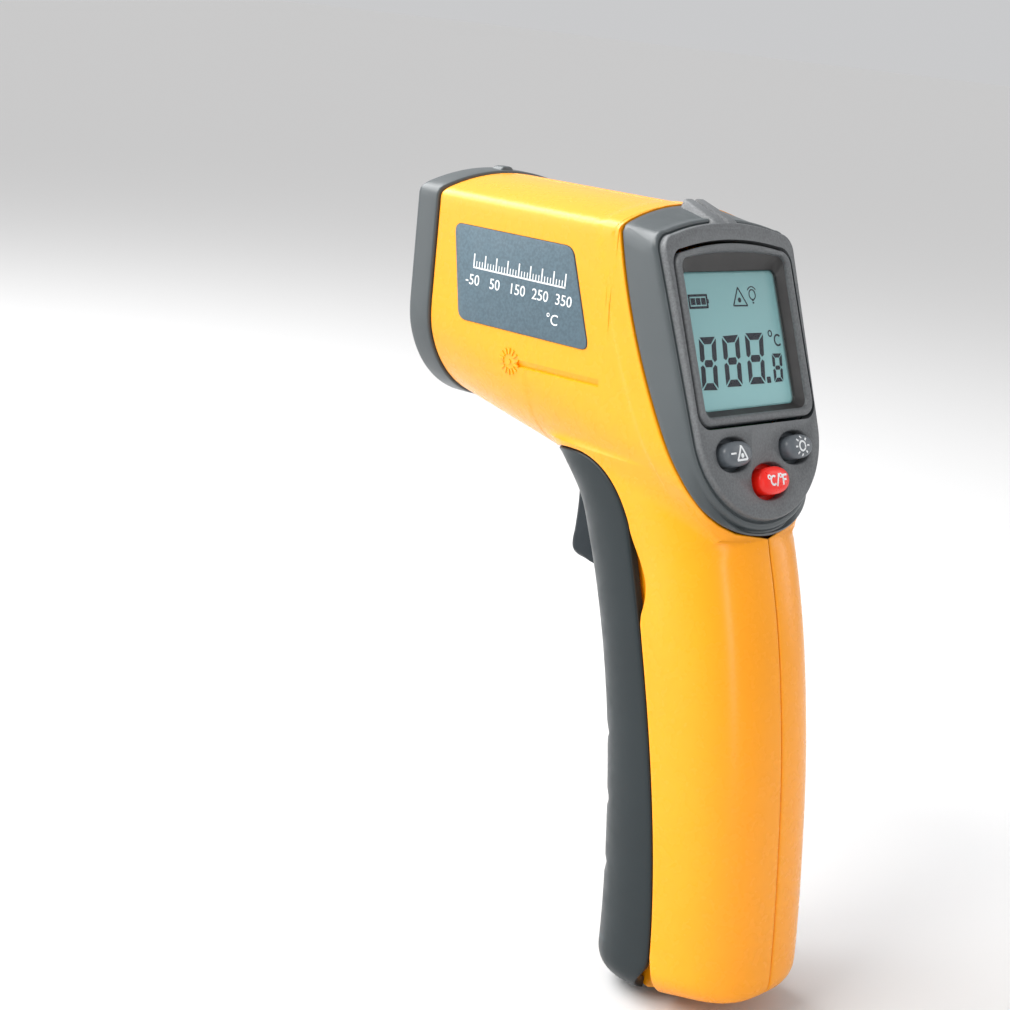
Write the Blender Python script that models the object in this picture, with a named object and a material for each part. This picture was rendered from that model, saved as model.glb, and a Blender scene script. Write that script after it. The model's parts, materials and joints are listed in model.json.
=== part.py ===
"""Pocket infrared thermometer with a pistol grip.

Two case shells meet on the plane x = 0.  A front bezel carries the lens and the laser, a rear bezel
carries the display and three buttons, and a battery door covers the front of the grip.
Axes: +X to the user's right, +Y the way the lens points, +Z up.
Sizes are millimetres in a drawing frame whose zero level is just under the grip.  metres() turns them
into metres and puts the origin in the middle of the grip, where a hand holds the instrument.
"""
import math

import bmesh
import bpy
import numpy as np
from mathutils import Matrix, Vector

# ---------------------------------------------------------------- driving dimensions (millimetres)
BASE_Y = -28.0            # drawing position of the origin, the middle of the grip
BASE_Z = 56.0
GAP = 0.3                 # clearance between neighbouring pieces
WALL = 2.0                # moulded wall thickness

HEAD_TOP = 157.75         # crown line of the head
HEAD_HALF_WIDTH = 20.2
HEAD_CROWN = 10.1         # half-width of the crown one millimetre below its top
FRONT_SEAM_Y = 42.5       # where the shells end and the front bezel begins
FRONT_FACE_Y = 48.8
KEEL_FRONT_Z = 111.0      # underside of the head at the front seam
KEEL_SLOPE = 0.22
KEEL_RADIUS = 21.0        # height of the rounded underside of the head
CHIN_START = 31.0         # down the panel, where the sides start to round in to the chin
CHIN_TIP = 50.3
CHIN_RAKE = 1.3           # how fast the chin draws in, away from the panel's surface
CHIN_REACH = 14.0
EDGE_BLEND = 3.0          # softness of the line where two surfaces of the case meet
CHIN_BLEND = 1.0

GRIP_HALF_WIDTH = 17.0
GRIP_BACK = ((0, -49.4), (10, -49.3), (35, -47.4), (60, -44.2), (85, -38.8), (100, -34.0), (120, -26.5))
GRIP_FRONT = ((0, -11.8), (10, -11.9), (35, -10.3), (60, -6.6), (80, -1.4), (92, 2.9), (100, 6.6),
              (107, 13.0))
GRIP_BACK_POWER = 2.8
GRIP_FRONT_POWER = 3.0
GRIP_RAKE = math.radians(9.3)
BUTT_LEVEL = ((-50, 3.2), (-46, 4.2), (-38, 4.6), (-32, 3.6), (-25, 2.3), (-17, 1.9), (-11, 2.4))
BUTT_HEIGHT = 8.0         # height of the rounded end of the grip
BUTT_POWER = 2.4
GRIP_CEILING = 110.0      # above this the grip narrows away inside the head
GRIP_FADE = 1.5

PANEL_ORIGIN = (0.0, -17.12, 146.96)   # top centre of the display, on its surface
PANEL_TILT = math.radians(20.62)
FACE_LEVEL = 1.6          # outer face of the rear bezel above the display surface
FACE_INSIDE = -0.6
DISPLAY_WIDTH = 29.1
DISPLAY_HEIGHT = 26.3
RECESS_HALF_WIDTH = 16.1
RECESS_TOP = -3.3
RECESS_BOTTOM = 27.5

BUTTONS = {               # centre across and down the panel, half-width, half-height
    "button_laser": (-9.6, 34.85, 5.0, 3.25),
    "button_light": (9.8, 35.05, 5.0, 3.25),
    "button_unit": (0.2, 40.8, 5.5, 3.55),
}
BUTTON_TOP = 3.9
BUTTON_TRAVEL = 0.8

LENS_Z = 126.0
LENS_HOLE = 10.4
LASER_Z = 143.0
LASER_HOLE = 3.6

TRIGGER_PIVOT = (1.0, 104.0)
TRIGGER_PIN_RADIUS = 1.1
TRIGGER_HALF_WIDTH = 4.7
SLOT_HALF_WIDTH = 5.3
DOOR_PIVOT = (-27.4, 7.0)
DOOR_PIN_RADIUS = 1.0
BARREL_RADIUS = 2.2
BARREL_HALF_LENGTH = 7.7
EAR_INNER = 8.2           # the shells' hinge ears, out from the parting plane
EAR_OUTER = 10.6

LABEL_OUTLINE = ((37.4, 148.2), (5.4, 148.2), (-1.2, 129.4), (34.1, 129.4))
LABEL_DEPTH = 0.75
LABEL_THICKNESS = 0.4

SCREWS = ((34.0, 150.2), (14.5, 121.0), (-28.0, 87.0), (-37.5, 19.0))
POST_RADIUS = 3.2         # left shell, where the screw bites
SLEEVE_RADIUS = 3.9       # right shell, round the screw's head
SLEEVE_FLOOR = 3.6        # sleeve length outside the screw's seat
PILOT_RADIUS = 1.4
SHANK_HOLE = 1.5
HEAD_HOLE = 2.7
CELL_RADIUS = 5.25
CELL_LENGTH = 44.5
TRAY_ORIGIN = (0.0, -23.0, 49.0)


# ---------------------------------------------------------------- numbers and curves
def smooth_min(a, b, blend):
    share = np.clip(0.5 + 0.5 * (b - a) / blend, 0, 1)
    return b + (a - b) * share - blend * share * (1 - share)


def smooth_max(a, b, blend):
    return -smooth_min(-a, -b, blend)


def through(points, x):
    """Smooth curve through a few (x, value) points, carried on straight past its ends."""
    xs, ys = np.array(points, float).T
    slopes = np.gradient(ys, xs)
    x = np.asarray(x, float)
    i = np.clip(np.searchsorted(xs, x) - 1, 0, len(xs) - 2)
    step = xs[i + 1] - xs[i]
    t = np.clip((x - xs[i]) / step, 0, 1)
    value = (2 * t**3 - 3 * t**2 + 1) * ys[i] + (t**3 - 2 * t**2 + t) * step * slopes[i]
    value = value + (3 * t**2 - 2 * t**3) * ys[i + 1] + (t**3 - t**2) * step * slopes[i + 1]
    before = np.minimum(x - xs[0], 0) * slopes[0]
    return value + before + np.maximum(x - xs[-1], 0) * slopes[-1]


def bezier(p0, p1, p2, p3, t):
    t = np.asarray(t, float)[..., None]
    p0, p1, p2, p3 = (np.array(p, float) for p in (p0, p1, p2, p3))
    return (1 - t)**3 * p0 + 3 * (1 - t)**2 * t * p1 + 3 * (1 - t) * t**2 * p2 + t**3 * p3


def ellipse_half_width(half_width, q):
    """Half-width of an ellipse at q (0 at its middle, 1 at its tip), negative past the tip."""
    inside = np.sqrt(np.clip(1 - q * q, 0, 1))
    outside = np.sqrt(np.clip(q * q - 1, 0, None))
    return half_width * np.where(q < 1, inside, -outside)


# ---------------------------------------------------------------- outer surface of the case
def panel_coordinates(y, z):
    """Distance down the display panel and out from its surface."""
    down = -(y - PANEL_ORIGIN[1]) * math.sin(PANEL_TILT) - (z - PANEL_ORIGIN[2]) * math.cos(PANEL_TILT)
    out = -(y - PANEL_ORIGIN[1]) * math.cos(PANEL_TILT) + (z - PANEL_ORIGIN[2]) * math.sin(PANEL_TILT)
    return down, out


def head_half_width(y, z):
    depth = HEAD_TOP - z
    crown = HEAD_CROWN * np.sign(depth) * np.sqrt(np.abs(depth))
    keel_centre = KEEL_FRONT_Z + KEEL_SLOPE * (y - FRONT_SEAM_Y) + KEEL_RADIUS
    keel = ellipse_half_width(HEAD_HALF_WIDTH, np.clip((keel_centre - z) / KEEL_RADIUS, 0, None))
    down, out = panel_coordinates(y, z)
    length = np.maximum(CHIN_TIP - CHIN_RAKE * out - CHIN_START, 4)
    chin = ellipse_half_width(HEAD_HALF_WIDTH, np.clip((down - CHIN_START) / length, 0, None))
    chin = np.where(out > CHIN_REACH, -HEAD_HALF_WIDTH, chin)
    return smooth_min(smooth_min(crown, keel, EDGE_BLEND), chin, CHIN_BLEND)


def grip_half_width(y, z):
    back = through(GRIP_BACK, z)
    front = through(GRIP_FRONT, z)
    middle = (back + front) / 2
    u = (y - middle) / np.maximum((front - back) / 2, 5)
    power = np.where(u < 0, GRIP_BACK_POWER, GRIP_FRONT_POWER)
    level = through(BUTT_LEVEL, y)
    v = np.clip(1 - (z - level) / BUTT_HEIGHT, 0, None)
    q = np.abs(u)**power + v**BUTT_POWER
    inside = np.clip(1 - q, 0, 1)**(1 / power)
    outside = np.clip(q - 1, 0, None)**(1 / power)
    return GRIP_HALF_WIDTH * np.where(q < 1, inside, -outside) - GRIP_FADE * np.clip(z - GRIP_CEILING, 0, None)


def half_width(y, z):
    """Half-width of the closed case at a point of the side view, negative outside its outline."""
    return smooth_max(head_half_width(y, z), grip_half_width(y, z), EDGE_BLEND)


def outline_point(start, angle):
    """First point of the side outline met from start in a direction (degrees, 0 = +Y, 90 = +Z)."""
    direction = np.array((math.cos(math.radians(angle)), math.sin(math.radians(angle))))
    start = np.array(start, float)
    inside, outside = 0.0, 0.5
    while half_width(*(start + direction * outside)) > 0:
        inside, outside = outside, outside + 0.5
    for _ in range(30):
        middle = (inside + outside) / 2
        if half_width(*(start + direction * middle)) > 0:
            inside = middle
        else:
            outside = middle
    return start + direction * inside


def rear_seam(t, gap=0.0):
    """Side view of the joint between the shells and the rear bezel, t = 0 at the crown, 1 at the chin."""
    ends = ((-5.0, 157.9), (-8.6, 139.0), (-16.8, 120.8), (-34.75, 98.3))
    here = bezier(*ends, t)
    tangent = bezier(*ends, np.asarray(t) + 1e-4) - bezier(*ends, np.asarray(t) - 1e-4)
    normal = np.stack((tangent[..., 1], -tangent[..., 0]), -1)
    normal /= np.linalg.norm(normal, axis=-1, keepdims=True)
    return here + normal * gap


DOOR_EDGE = (
    ((14.8, 104.95), (12.8, 107.0), (9.2, 108.9), (2.0, 109.0)),
    ((2.0, 109.0), (-4.5, 109.0), (-10.3, 104.3), (-13.5, 97.7)),
    ((-13.5, 97.7), (-20.8, 75.0), (-30.0, 42.0), (-31.5, 14.0)),
)
SHELL_HEEL = ((-31.5, 14.0), (-32.3, 9.5), (-33.4, 7.5), (-31.6, 3.9))
DOOR_HEEL = ((-31.2, 14.0), (-31.2, 9.6), (-27.6, 7.8), (-26.6, 3.7))


# ---------------------------------------------------------------- meshes
def metres(points):
    points = np.array(points, float).reshape(-1, 3)
    return (points - (0.0, BASE_Y, BASE_Z)) * 0.001


def link(name, verts, faces, material, frame=None, smooth=40):
    """A closed mesh object.  Points are drawing millimetres, or local millimetres of a frame empty."""
    mesh = bpy.data.meshes.new(name)
    points = metres(verts) if frame is None else np.array(verts, float) * 0.001
    mesh.from_pydata([tuple(p) for p in points], [], [tuple(f) for f in faces])
    work = bmesh.new()
    work.from_mesh(mesh)
    bmesh.ops.remove_doubles(work, verts=work.verts, dist=1e-6)
    bmesh.ops.recalc_face_normals(work, faces=work.faces)
    work.to_mesh(mesh)
    work.free()
    mesh.shade_smooth()
    mesh.set_sharp_from_angle(angle=math.radians(smooth))
    thing = bpy.data.objects.new(name, mesh)
    bpy.context.scene.collection.objects.link(thing)
    if material is not None:
        mesh.materials.append(material)
    if frame is not None:
        thing.parent = frame
    return thing


def set_origin(thing, point):
    """Moves an object's origin to a drawing point and leaves its shape where it is."""
    shift = Vector(metres([point])[0])
    thing.data.transform(Matrix.Translation(-shift))
    thing.location = shift


def loft(rings):
    """Vertices and faces of a closed skin over closed rings, with a flat cap at each end."""
    count = len(rings[0])
    verts = [p for ring in rings for p in ring]
    faces = [list(range(count)), list(range(len(verts) - count, len(verts)))]
    for row in range(len(rings) - 1):
        for k in range(count):
            n = (k + 1) % count
            faces.append((row * count + k, row * count + n, (row + 1) * count + n, (row + 1) * count + k))
    return verts, faces


def slab(outline, low, high, plane="panel"):
    """A flat piece: an outline (a, b) extruded between two levels across its plane."""
    place = {
        "panel": lambda a, b, c: (a, b, c),
        "side": lambda a, b, c: (c, a, b),
        "front": lambda a, b, c: (a, c, b),
    }[plane]
    return loft([[place(a, b, level) for a, b in outline] for level in (low, high)])


def joined(*shapes):
    verts, faces = [], []
    for shape_verts, shape_faces in shapes:
        base = len(verts)
        verts += list(shape_verts)
        faces += [[base + i for i in face] for face in shape_faces]
    return verts, faces


def box(low, high):
    outline = ((low[0], low[1]), (high[0], low[1]), (high[0], high[1]), (low[0], high[1]))
    return slab(outline, low[2], high[2])


def rounded_rectangle(width, height, radius, centre=(0.0, 0.0), steps=4):
    points = []
    for corner, (sx, sy) in enumerate(((1, 1), (-1, 1), (-1, -1), (1, -1))):
        for k in range(steps + 1):
            angle = math.radians(90 * (corner + k / steps))
            x = centre[0] + sx * (width / 2 - radius) + radius * math.cos(angle)
            points.append((x, centre[1] + sy * (height / 2 - radius) + radius * math.sin(angle)))
    return points


def oval(half_width_, half_height, centre=(0.0, 0.0), steps=28, power=2.3):
    points = []
    for k in range(steps):
        c, s = math.cos(2 * math.pi * k / steps), math.sin(2 * math.pi * k / steps)
        x = centre[0] + half_width_ * math.copysign(abs(c)**(2 / power), c)
        points.append((x, centre[1] + half_height * math.copysign(abs(s)**(2 / power), s)))
    return points


def turned(profile, centre, axis="y", steps=32):
    """A round piece: a closed profile of (radius, distance) turned about an axis through centre."""
    place = {
        "x": lambda r, d, c, s: (centre[0] + d, centre[1] + r * c, centre[2] + r * s),
        "y": lambda r, d, c, s: (centre[0] + r * c, centre[1] + d, centre[2] + r * s),
        "z": lambda r, d, c, s: (centre[0] + r * c, centre[1] + r * s, centre[2] + d),
    }[axis]
    angles = [2 * math.pi * k / steps for k in range(steps)]
    rings = [[place(r, d, math.cos(a), math.sin(a)) for a in angles] for r, d in profile]
    return loft(rings)


def turned_ring(profile, centre, axis="y", steps=32):
    """A turned piece with a hole through it: the profile is a closed loop that never meets the axis."""
    verts, faces = turned(profile, centre, axis, steps)
    faces = faces[2:]
    last = (len(profile) - 1) * steps
    for k in range(steps):
        n = (k + 1) % steps
        faces.append((last + k, last + n, n, k))
    return verts, faces


def pipe(route, radius, sides=8):
    """A round bar along a route of points, with flat ends."""
    route = [Vector(p) for p in route]
    rings = []
    side = Vector((1.0, 0.0, 0.0))
    for i, here in enumerate(route):
        ahead = (route[min(i + 1, len(route) - 1)] - route[max(i - 1, 0)]).normalized()
        side = (side - ahead * side.dot(ahead)).normalized()
        up = ahead.cross(side)
        angles = [2 * math.pi * k / sides for k in range(sides)]
        rings.append([here + radius * (math.cos(a) * side + math.sin(a) * up) for a in angles])
    return loft(rings)


def coil(radius, turns, length, wire, centre, axis, end_radius=None, per_turn=14, sides=6):
    """A helical spring, conical where end_radius is given."""
    end_radius = radius if end_radius is None else end_radius
    count = int(turns * per_turn)
    route = []
    for k in range(count + 1):
        share = k / count
        r = radius + (end_radius - radius) * share
        a = 2 * math.pi * turns * share
        across, along, up = r * math.cos(a), length * share, r * math.sin(a)
        offset = (across, up, along) if axis == "z" else (along, across, up)
        route.append(tuple(c + o for c, o in zip(centre, offset)))
    return pipe(route, wire, sides)


def cutter(name, shape, frame=None):
    thing = link(name, *shape, material=None, frame=frame)
    thing.hide_render = True
    thing.display_type = "WIRE"
    return thing


def combine(thing, tool, operation):
    modifier = thing.modifiers.new(tool.name, "BOOLEAN")
    modifier.operation = operation
    modifier.object = tool
    modifier.solver = "EXACT"


# ---------------------------------------------------------------- materials and frames
def make_material(name, colour, roughness, metallic=0.0, alpha=1.0):
    material = bpy.data.materials.new(name)
    material.use_nodes = True
    shader = material.node_tree.nodes["Principled BSDF"]
    shader.inputs["Base Color"].default_value = (*colour, 1.0)
    shader.inputs["Roughness"].default_value = roughness
    shader.inputs["Metallic"].default_value = metallic
    shader.inputs["Alpha"].default_value = alpha
    return material


def make_frame(name, origin, tilt):
    """An empty whose local axes are turned about X."""
    frame = bpy.data.objects.new(name, None)
    bpy.context.scene.collection.objects.link(frame)
    frame.location = metres([origin])[0]
    frame.rotation_euler = (tilt, 0.0, 0.0)
    return frame


# ---------------------------------------------------------------- case shells
def spaced(count):
    """Fractions from 0 to 1, packed towards both ends."""
    return (1 - np.cos(np.linspace(0, math.pi, count))) / 2


def shell_sections():
    """Pairs of side-view points, door side and outer side, from the front seam round to the butt."""
    def keel(y):
        return np.array((y, KEEL_FRONT_Z + KEEL_SLOPE * (y - FRONT_SEAM_Y)))

    pairs = []
    for y in np.linspace(FRONT_SEAM_Y, DOOR_EDGE[0][0][0], 4):
        pairs.append((keel(y) if y > DOOR_EDGE[0][0][0] else bezier(*DOOR_EDGE[0], 0.0), (y, HEAD_TOP)))
    for t in np.linspace(0, 1, 5)[1:]:
        here = bezier(*DOOR_EDGE[0], t)
        pairs.append((here, (here[0], HEAD_TOP)))
    crown_end = rear_seam(0.0)[0]
    for t in (0.12, 0.24):
        here = bezier(*DOOR_EDGE[1], t)
        pairs.append((here, (2.0 + (crown_end - 2.0) * t / 0.24, HEAD_TOP)))
    for t in (0.03, 0.07, 0.12, 0.19, 0.28, 0.38, 0.48, 0.58, 0.68):
        pairs.append((bezier(*DOOR_EDGE[1], 0.24 + 0.76 * t / 0.68), rear_seam(t)))
    for t in (0.78, 0.86, 0.93, 1.0):
        pairs.append((bezier(*DOOR_EDGE[2], 0.16 * (t - 0.68) / 0.32), rear_seam(t)))
    chin_z = 98.0
    for share in np.linspace(0, 1, 9)[1:]:
        z = chin_z + (17.0 - chin_z) * share
        here = bezier(*DOOR_EDGE[2], 0.16 + 0.84 * share)
        pairs.append((here, outline_point((-30.0, z), 180)))
    for share in np.linspace(0, 1, 7)[1:]:
        here = bezier(*SHELL_HEEL, share)
        target = outline_point((-32.2, 17.0), 180 + 90 * share**0.8)
        pairs.append((here, target))
    return pairs


def case_normals(grid):
    """Outward directions of the case surface at a grid of its points."""
    x, y, z = grid[..., 0], grid[..., 1], grid[..., 2]
    step = 0.05
    slope_y = (half_width(y + step, z) - half_width(y - step, z)) / (2 * step)
    slope_z = (half_width(y, z + step) - half_width(y, z - step)) / (2 * step)
    side = np.where(np.abs(x) <= GAP / 2 + 1e-6, 0.0, np.sign(x))
    normal = np.stack((side, -slope_y, -slope_z), -1)
    return normal / np.linalg.norm(normal, axis=-1, keepdims=True)


def thick_skin(grid, thickness):
    """A closed solid under a grid of points on the outer surface of the case."""
    inner = grid - case_normals(grid) * thickness
    rows, columns = grid.shape[:2]
    verts = list(grid.reshape(-1, 3)) + list(inner.reshape(-1, 3))
    total = rows * columns
    faces = []
    for i in range(rows - 1):
        for j in range(columns - 1):
            a = i * columns + j
            faces.append((a, a + 1, a + 1 + columns, a + columns))
            faces.append((total + a, total + a + columns, total + a + 1 + columns, total + a + 1))
    rim = list(range(columns))
    rim += [i * columns + columns - 1 for i in range(1, rows)]
    rim += [(rows - 1) * columns + j for j in range(columns - 2, -1, -1)]
    rim += [i * columns for i in range(rows - 2, 0, -1)]
    for k, a in enumerate(rim):
        b = rim[(k + 1) % len(rim)]
        faces.append((a, b, total + b, total + a))
    return verts, faces


def shell_grid(side):
    """Outer points of one shell: side is -1 for the left one and 1 for the right one."""
    rows = []
    for inner, outer in shell_sections():
        inner, outer = np.array(inner, float), np.array(outer, float)
        line = inner + (outer - inner) * spaced(16)[:, None]
        x = np.maximum(half_width(line[:, 0], line[:, 1]), GAP / 2)
        rows.append(np.column_stack((side * x, line)))
    grid = np.array(rows)
    return grid if side < 0 else grid[:, ::-1]


def wall_reach(y, z, radius):
    """How far out a boss of this radius can go and still end inside the wall."""
    angles = np.linspace(0, 2 * math.pi, 16)
    return float(half_width(y + radius * np.cos(angles), z + radius * np.sin(angles)).min()) - 0.7


def screw_seat(y, z):
    """Distance from the parting plane to the step that a screw's head rests on."""
    return wall_reach(y, z, SLEEVE_RADIUS) - SLEEVE_FLOOR


def shell_bosses(side):
    shapes = []
    for y, z in SCREWS:
        radius = POST_RADIUS if side < 0 else SLEEVE_RADIUS
        reach = wall_reach(y, z, radius)
        shapes.append(turned([(radius, side * 0.25), (radius, side * reach)], (0, y, z), "x", 20))
    y, z = TRIGGER_PIVOT
    x_low, x_high = sorted((side * 5.8, side * 8.2))
    plate = ((y - 3.2, z - 2.8), (y + 2.2, z - 2.8), (y + 2.6, 112.0), (y + 8, 114), (y - 3.2, 114.0))
    shapes.append(slab(plate, x_low, x_high, "side"))
    x_low, x_high = sorted((side * 8.15, side * 14.9))
    shapes.append(slab(((y - 2, 111.2), (y + 6, 111.8), (y + 6, 113.9), (y - 2, 113.9)), x_low, x_high, "side"))
    y, z = DOOR_PIVOT
    x_low, x_high = sorted((side * EAR_INNER, side * EAR_OUTER))
    turns = np.linspace(-math.pi / 2, math.pi / 2, 9)
    ear = [(y + BARREL_RADIUS * math.cos(a), z + BARREL_RADIUS * math.sin(a)) for a in turns]
    ear += [(y - 7.5, z + 2.4), (y - 7.5, z - 0.4), (y - 4.6, z - 1.5)]
    shapes.append(slab(ear, x_low, x_high, "side"))
    return shapes


def label_outline(grow):
    """The label's four-sided outline with rounded corners, grown outward by a margin."""
    points = [Vector(p) for p in LABEL_OUTLINE]
    centre = sum(points, Vector((0, 0))) / 4
    grown = [p + (p - centre).normalized() * grow * 1.4 for p in points]
    result = []
    radius = 2.0 + grow
    for i, p in enumerate(grown):
        into = (grown[i - 1] - p).normalized() * radius
        onward = (grown[(i + 1) % 4] - p).normalized() * radius
        for t in (0.0, 0.25, 0.5, 0.75, 1.0):
            result.append(p + into * (1 - t)**2 + onward * t**2)
    return [tuple(p) for p in result]


def shell_cuts(side):
    shapes = []
    low, high = sorted((side * (HEAD_HALF_WIDTH - LABEL_DEPTH), side * (HEAD_HALF_WIDTH + 2)))
    shapes.append(slab(label_outline(GAP), low, high, "side"))
    y, z = TRIGGER_PIVOT
    low, high = sorted((side * 4.0, side * 8.6))
    bore = TRIGGER_PIN_RADIUS + GAP
    shapes.append(turned([(bore, low), (bore, high)], (0, y, z), "x", 16))
    y, z = DOOR_PIVOT
    low, high = sorted((side * 7.5, side * 10.4))
    shapes.append(turned([(DOOR_PIN_RADIUS + GAP, low), (DOOR_PIN_RADIUS + GAP, high)], (0, y, z), "x", 16))
    for y, z in SCREWS:
        if side < 0:
            shapes.append(turned([(PILOT_RADIUS, -9.0), (PILOT_RADIUS, 3.0)], (0, y, z), "x", 16))
        else:
            seat = screw_seat(y, z)
            profile = [(SHANK_HOLE, -3.0), (SHANK_HOLE, seat), (HEAD_HOLE, seat), (HEAD_HOLE, 24.0)]
            shapes.append(turned(profile, (0, y, z), "x", 20))
    return shapes


def make_shell(name, side, material):
    shell = link(name, *thick_skin(shell_grid(side), WALL), material=material)
    for k, shape in enumerate(shell_bosses(side)):
        combine(shell, cutter(f"{name}_boss_{k}", shape), "UNION")
    for k, shape in enumerate(shell_cuts(side)):
        combine(shell, cutter(f"{name}_cut_{k}", shape), "DIFFERENCE")


def make_screws(material):
    for number, (y, z) in enumerate(SCREWS, 1):
        seat = screw_seat(y, z) + GAP
        profile = [(1.1, -7.5), (1.1, seat), (2.35, seat), (2.35, seat + 1.2), (1.9, seat + 1.6),
                   (0.8, seat + 1.6), (0.8, seat + 0.8)]
        link(f"shell_screw_{number}", *turned(profile, (0, y, z), "x", 20), material=material)


def make_labels(material):
    for name, side in (("side_label_left", -1), ("side_label_right", 1)):
        outer = side * HEAD_HALF_WIDTH
        low, high = sorted((outer, outer - side * LABEL_THICKNESS))
        link(name, *slab(label_outline(0), low, high, "side"), material=material)


# ---------------------------------------------------------------- battery door and trigger
def door_sections():
    """Pairs of side-view points, door edge and front outline, from the keel down to the butt."""
    pairs = []
    for t in np.linspace(0.14, 1, 7):
        here = bezier(*DOOR_EDGE[0], t) + (-0.1, -GAP)
        pairs.append((here, outline_point(here, -62 + 30 * t)))
    for t in np.linspace(0, 1, 6)[1:]:
        here = bezier(*DOOR_EDGE[1], t) + (GAP * t, -GAP * (1 - 0.6 * t))
        pairs.append((here, outline_point(here, -32 + 23 * t)))
    for t in np.linspace(0, 1, 9)[1:]:
        here = bezier(*DOOR_EDGE[2], t) + (GAP, 0)
        pairs.append((here, outline_point(here, -9)))
    for t in np.linspace(0, 1, 8)[1:]:
        pairs.append((bezier(*DOOR_HEEL, t), outline_point((-22.5, 14 - 5 * t), -9 - 98 * t)))
    return pairs


def door_grid():
    rows = []
    for edge, front in door_sections():
        edge, front = np.array(edge, float), np.array(front, float)
        line = edge + (front - edge) * np.sin(np.linspace(0, math.pi / 2, 10))[:, None]
        x = np.maximum(half_width(line[:, 0], line[:, 1]), 0.0)
        x[-1] = 0.0
        left = np.column_stack((-x, line))
        right = np.column_stack((x, line))[::-1]
        rows.append(np.vstack((left, right[1:])))
    return np.array(rows)


def make_door(material):
    door = link("battery_door", *thick_skin(door_grid(), WALL), material=material)
    y, z = DOOR_PIVOT
    half = BARREL_HALF_LENGTH
    barrel = turned([(BARREL_RADIUS, -half), (BARREL_RADIUS, half)], (0, y, z), "x", 20)
    web = slab(((y + 0.5, z - 1.2), (y + 3.5, z + 1.0), (y + 3.5, 3.0), (y + 1.2, 3.0)), -half, half, "side")
    combine(door, cutter("door_barrel", barrel), "UNION")
    combine(door, cutter("door_web", web), "UNION")
    bore = turned([(DOOR_PIN_RADIUS + GAP, -9), (DOOR_PIN_RADIUS + GAP, 9)], (0, y, z), "x", 16)
    combine(door, cutter("door_bore", bore), "DIFFERENCE")
    slot = ((-12, 81.6), (40, 81.6), (40, 101.5), (12.3, 101.5), (12.3, 118), (-12, 118))
    cut = slab(slot, -SLOT_HALF_WIDTH, SLOT_HALF_WIDTH, "side")
    combine(door, cutter("door_slot", cut), "DIFFERENCE")
    notches = joined(box((-10.95, -34, 0), (-7.95, -22.6, 12)), box((7.95, -34, 0), (10.95, -22.6, 12)))
    combine(door, cutter("door_notches", notches), "DIFFERENCE")
    set_origin(door, (0, y, z))
    pin = turned([(DOOR_PIN_RADIUS, -10.1), (DOOR_PIN_RADIUS, 10.1)], (0, y, z), "x", 16)
    return pin


TRIGGER_PROFILE = ((10.9, 105.4), (10.5, 100.5), (10.4, 95.0), (10.9, 89.5), (11.3, 86.6), (11.0, 84.6),
                   (9.6, 83.5), (7.0, 83.1), (-1.4, 82.9), (-1.6, 91.0), (-0.6, 98.5), (-2.0, 102.8),
                   (-1.4, 106.0), (0.8, 107.1), (4.0, 106.9))


def make_trigger(material):
    """A lever with a bar-shaped section: its front corners are rounded off."""
    levels = ((TRIGGER_HALF_WIDTH, 1.3), (TRIGGER_HALF_WIDTH - 0.4, 0.5), (TRIGGER_HALF_WIDTH - 1.4, 0.0))
    rings = []
    for half, inset in levels + tuple((-h, i) for h, i in reversed(levels)):
        rings.append([(half, y - inset if y > 6 else y, z) for y, z in TRIGGER_PROFILE])
    trigger = link("trigger", *loft(rings), material=material)
    radius = TRIGGER_PIN_RADIUS + GAP
    bore = turned([(radius, -6), (radius, 6)], (0, *TRIGGER_PIVOT), "x", 16)
    combine(trigger, cutter("trigger_bore", bore), "DIFFERENCE")
    set_origin(trigger, (0, *TRIGGER_PIVOT))
    return turned([(TRIGGER_PIN_RADIUS, -8.0), (TRIGGER_PIN_RADIUS, 8.0)], (0, *TRIGGER_PIVOT), "x", 16)


# ---------------------------------------------------------------- bezels
def head_section(y, grow, steps=12):
    """Closed ring round the head at one y, grown outward by a margin."""
    middle_z = (HEAD_TOP + KEEL_FRONT_Z) / 2
    height = HEAD_TOP - KEEL_FRONT_Z
    half = []
    for t in spaced(2 * steps):
        z = HEAD_TOP - height * t
        x = max(float(head_half_width(FRONT_SEAM_Y, z)), 0.0)
        x *= 1 + grow / HEAD_HALF_WIDTH
        half.append((x, middle_z + (z - middle_z) * (1 + 2 * grow / height)))
    half[0] = (0.0, half[0][1])
    half[-1] = (0.0, half[-1][1])
    return [(-x, y, z) for x, z in half] + [(x, y, z) for x, z in reversed(half[1:-1])]


def make_front_bezel(material):
    y = FRONT_SEAM_Y + GAP
    stations = ((y, -0.5), (y, 0.1), (y + 1.2, 0.45), (FRONT_FACE_Y - 1.4, 0.5), (FRONT_FACE_Y - 0.4, 0.1),
                (FRONT_FACE_Y, -0.5), (FRONT_FACE_Y, -2.3), (FRONT_FACE_Y - 0.5, -2.7), (45.4, -3.2))
    bezel = link("front_bezel", *loft([head_section(*station) for station in stations]), material=material)
    sight = loft([
        [(-3.4, 43.4, 156.5), (3.4, 43.4, 156.5), (3.4, 48.3, 156.5), (-3.4, 48.3, 156.5)],
        [(-2.6, 44.0, 159.3), (2.6, 44.0, 159.3), (2.6, 46.6, 159.3), (-2.6, 46.6, 159.3)],
    ])
    combine(bezel, cutter("front_sight", sight), "UNION")
    holes = joined(turned([(LENS_HOLE, 40), (LENS_HOLE, 50)], (0, 0, LENS_Z), "y", 40),
                   turned([(LASER_HOLE, 40), (LASER_HOLE, 50)], (0, 0, LASER_Z), "y", 24))
    combine(bezel, cutter("front_holes", holes), "DIFFERENCE")


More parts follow.
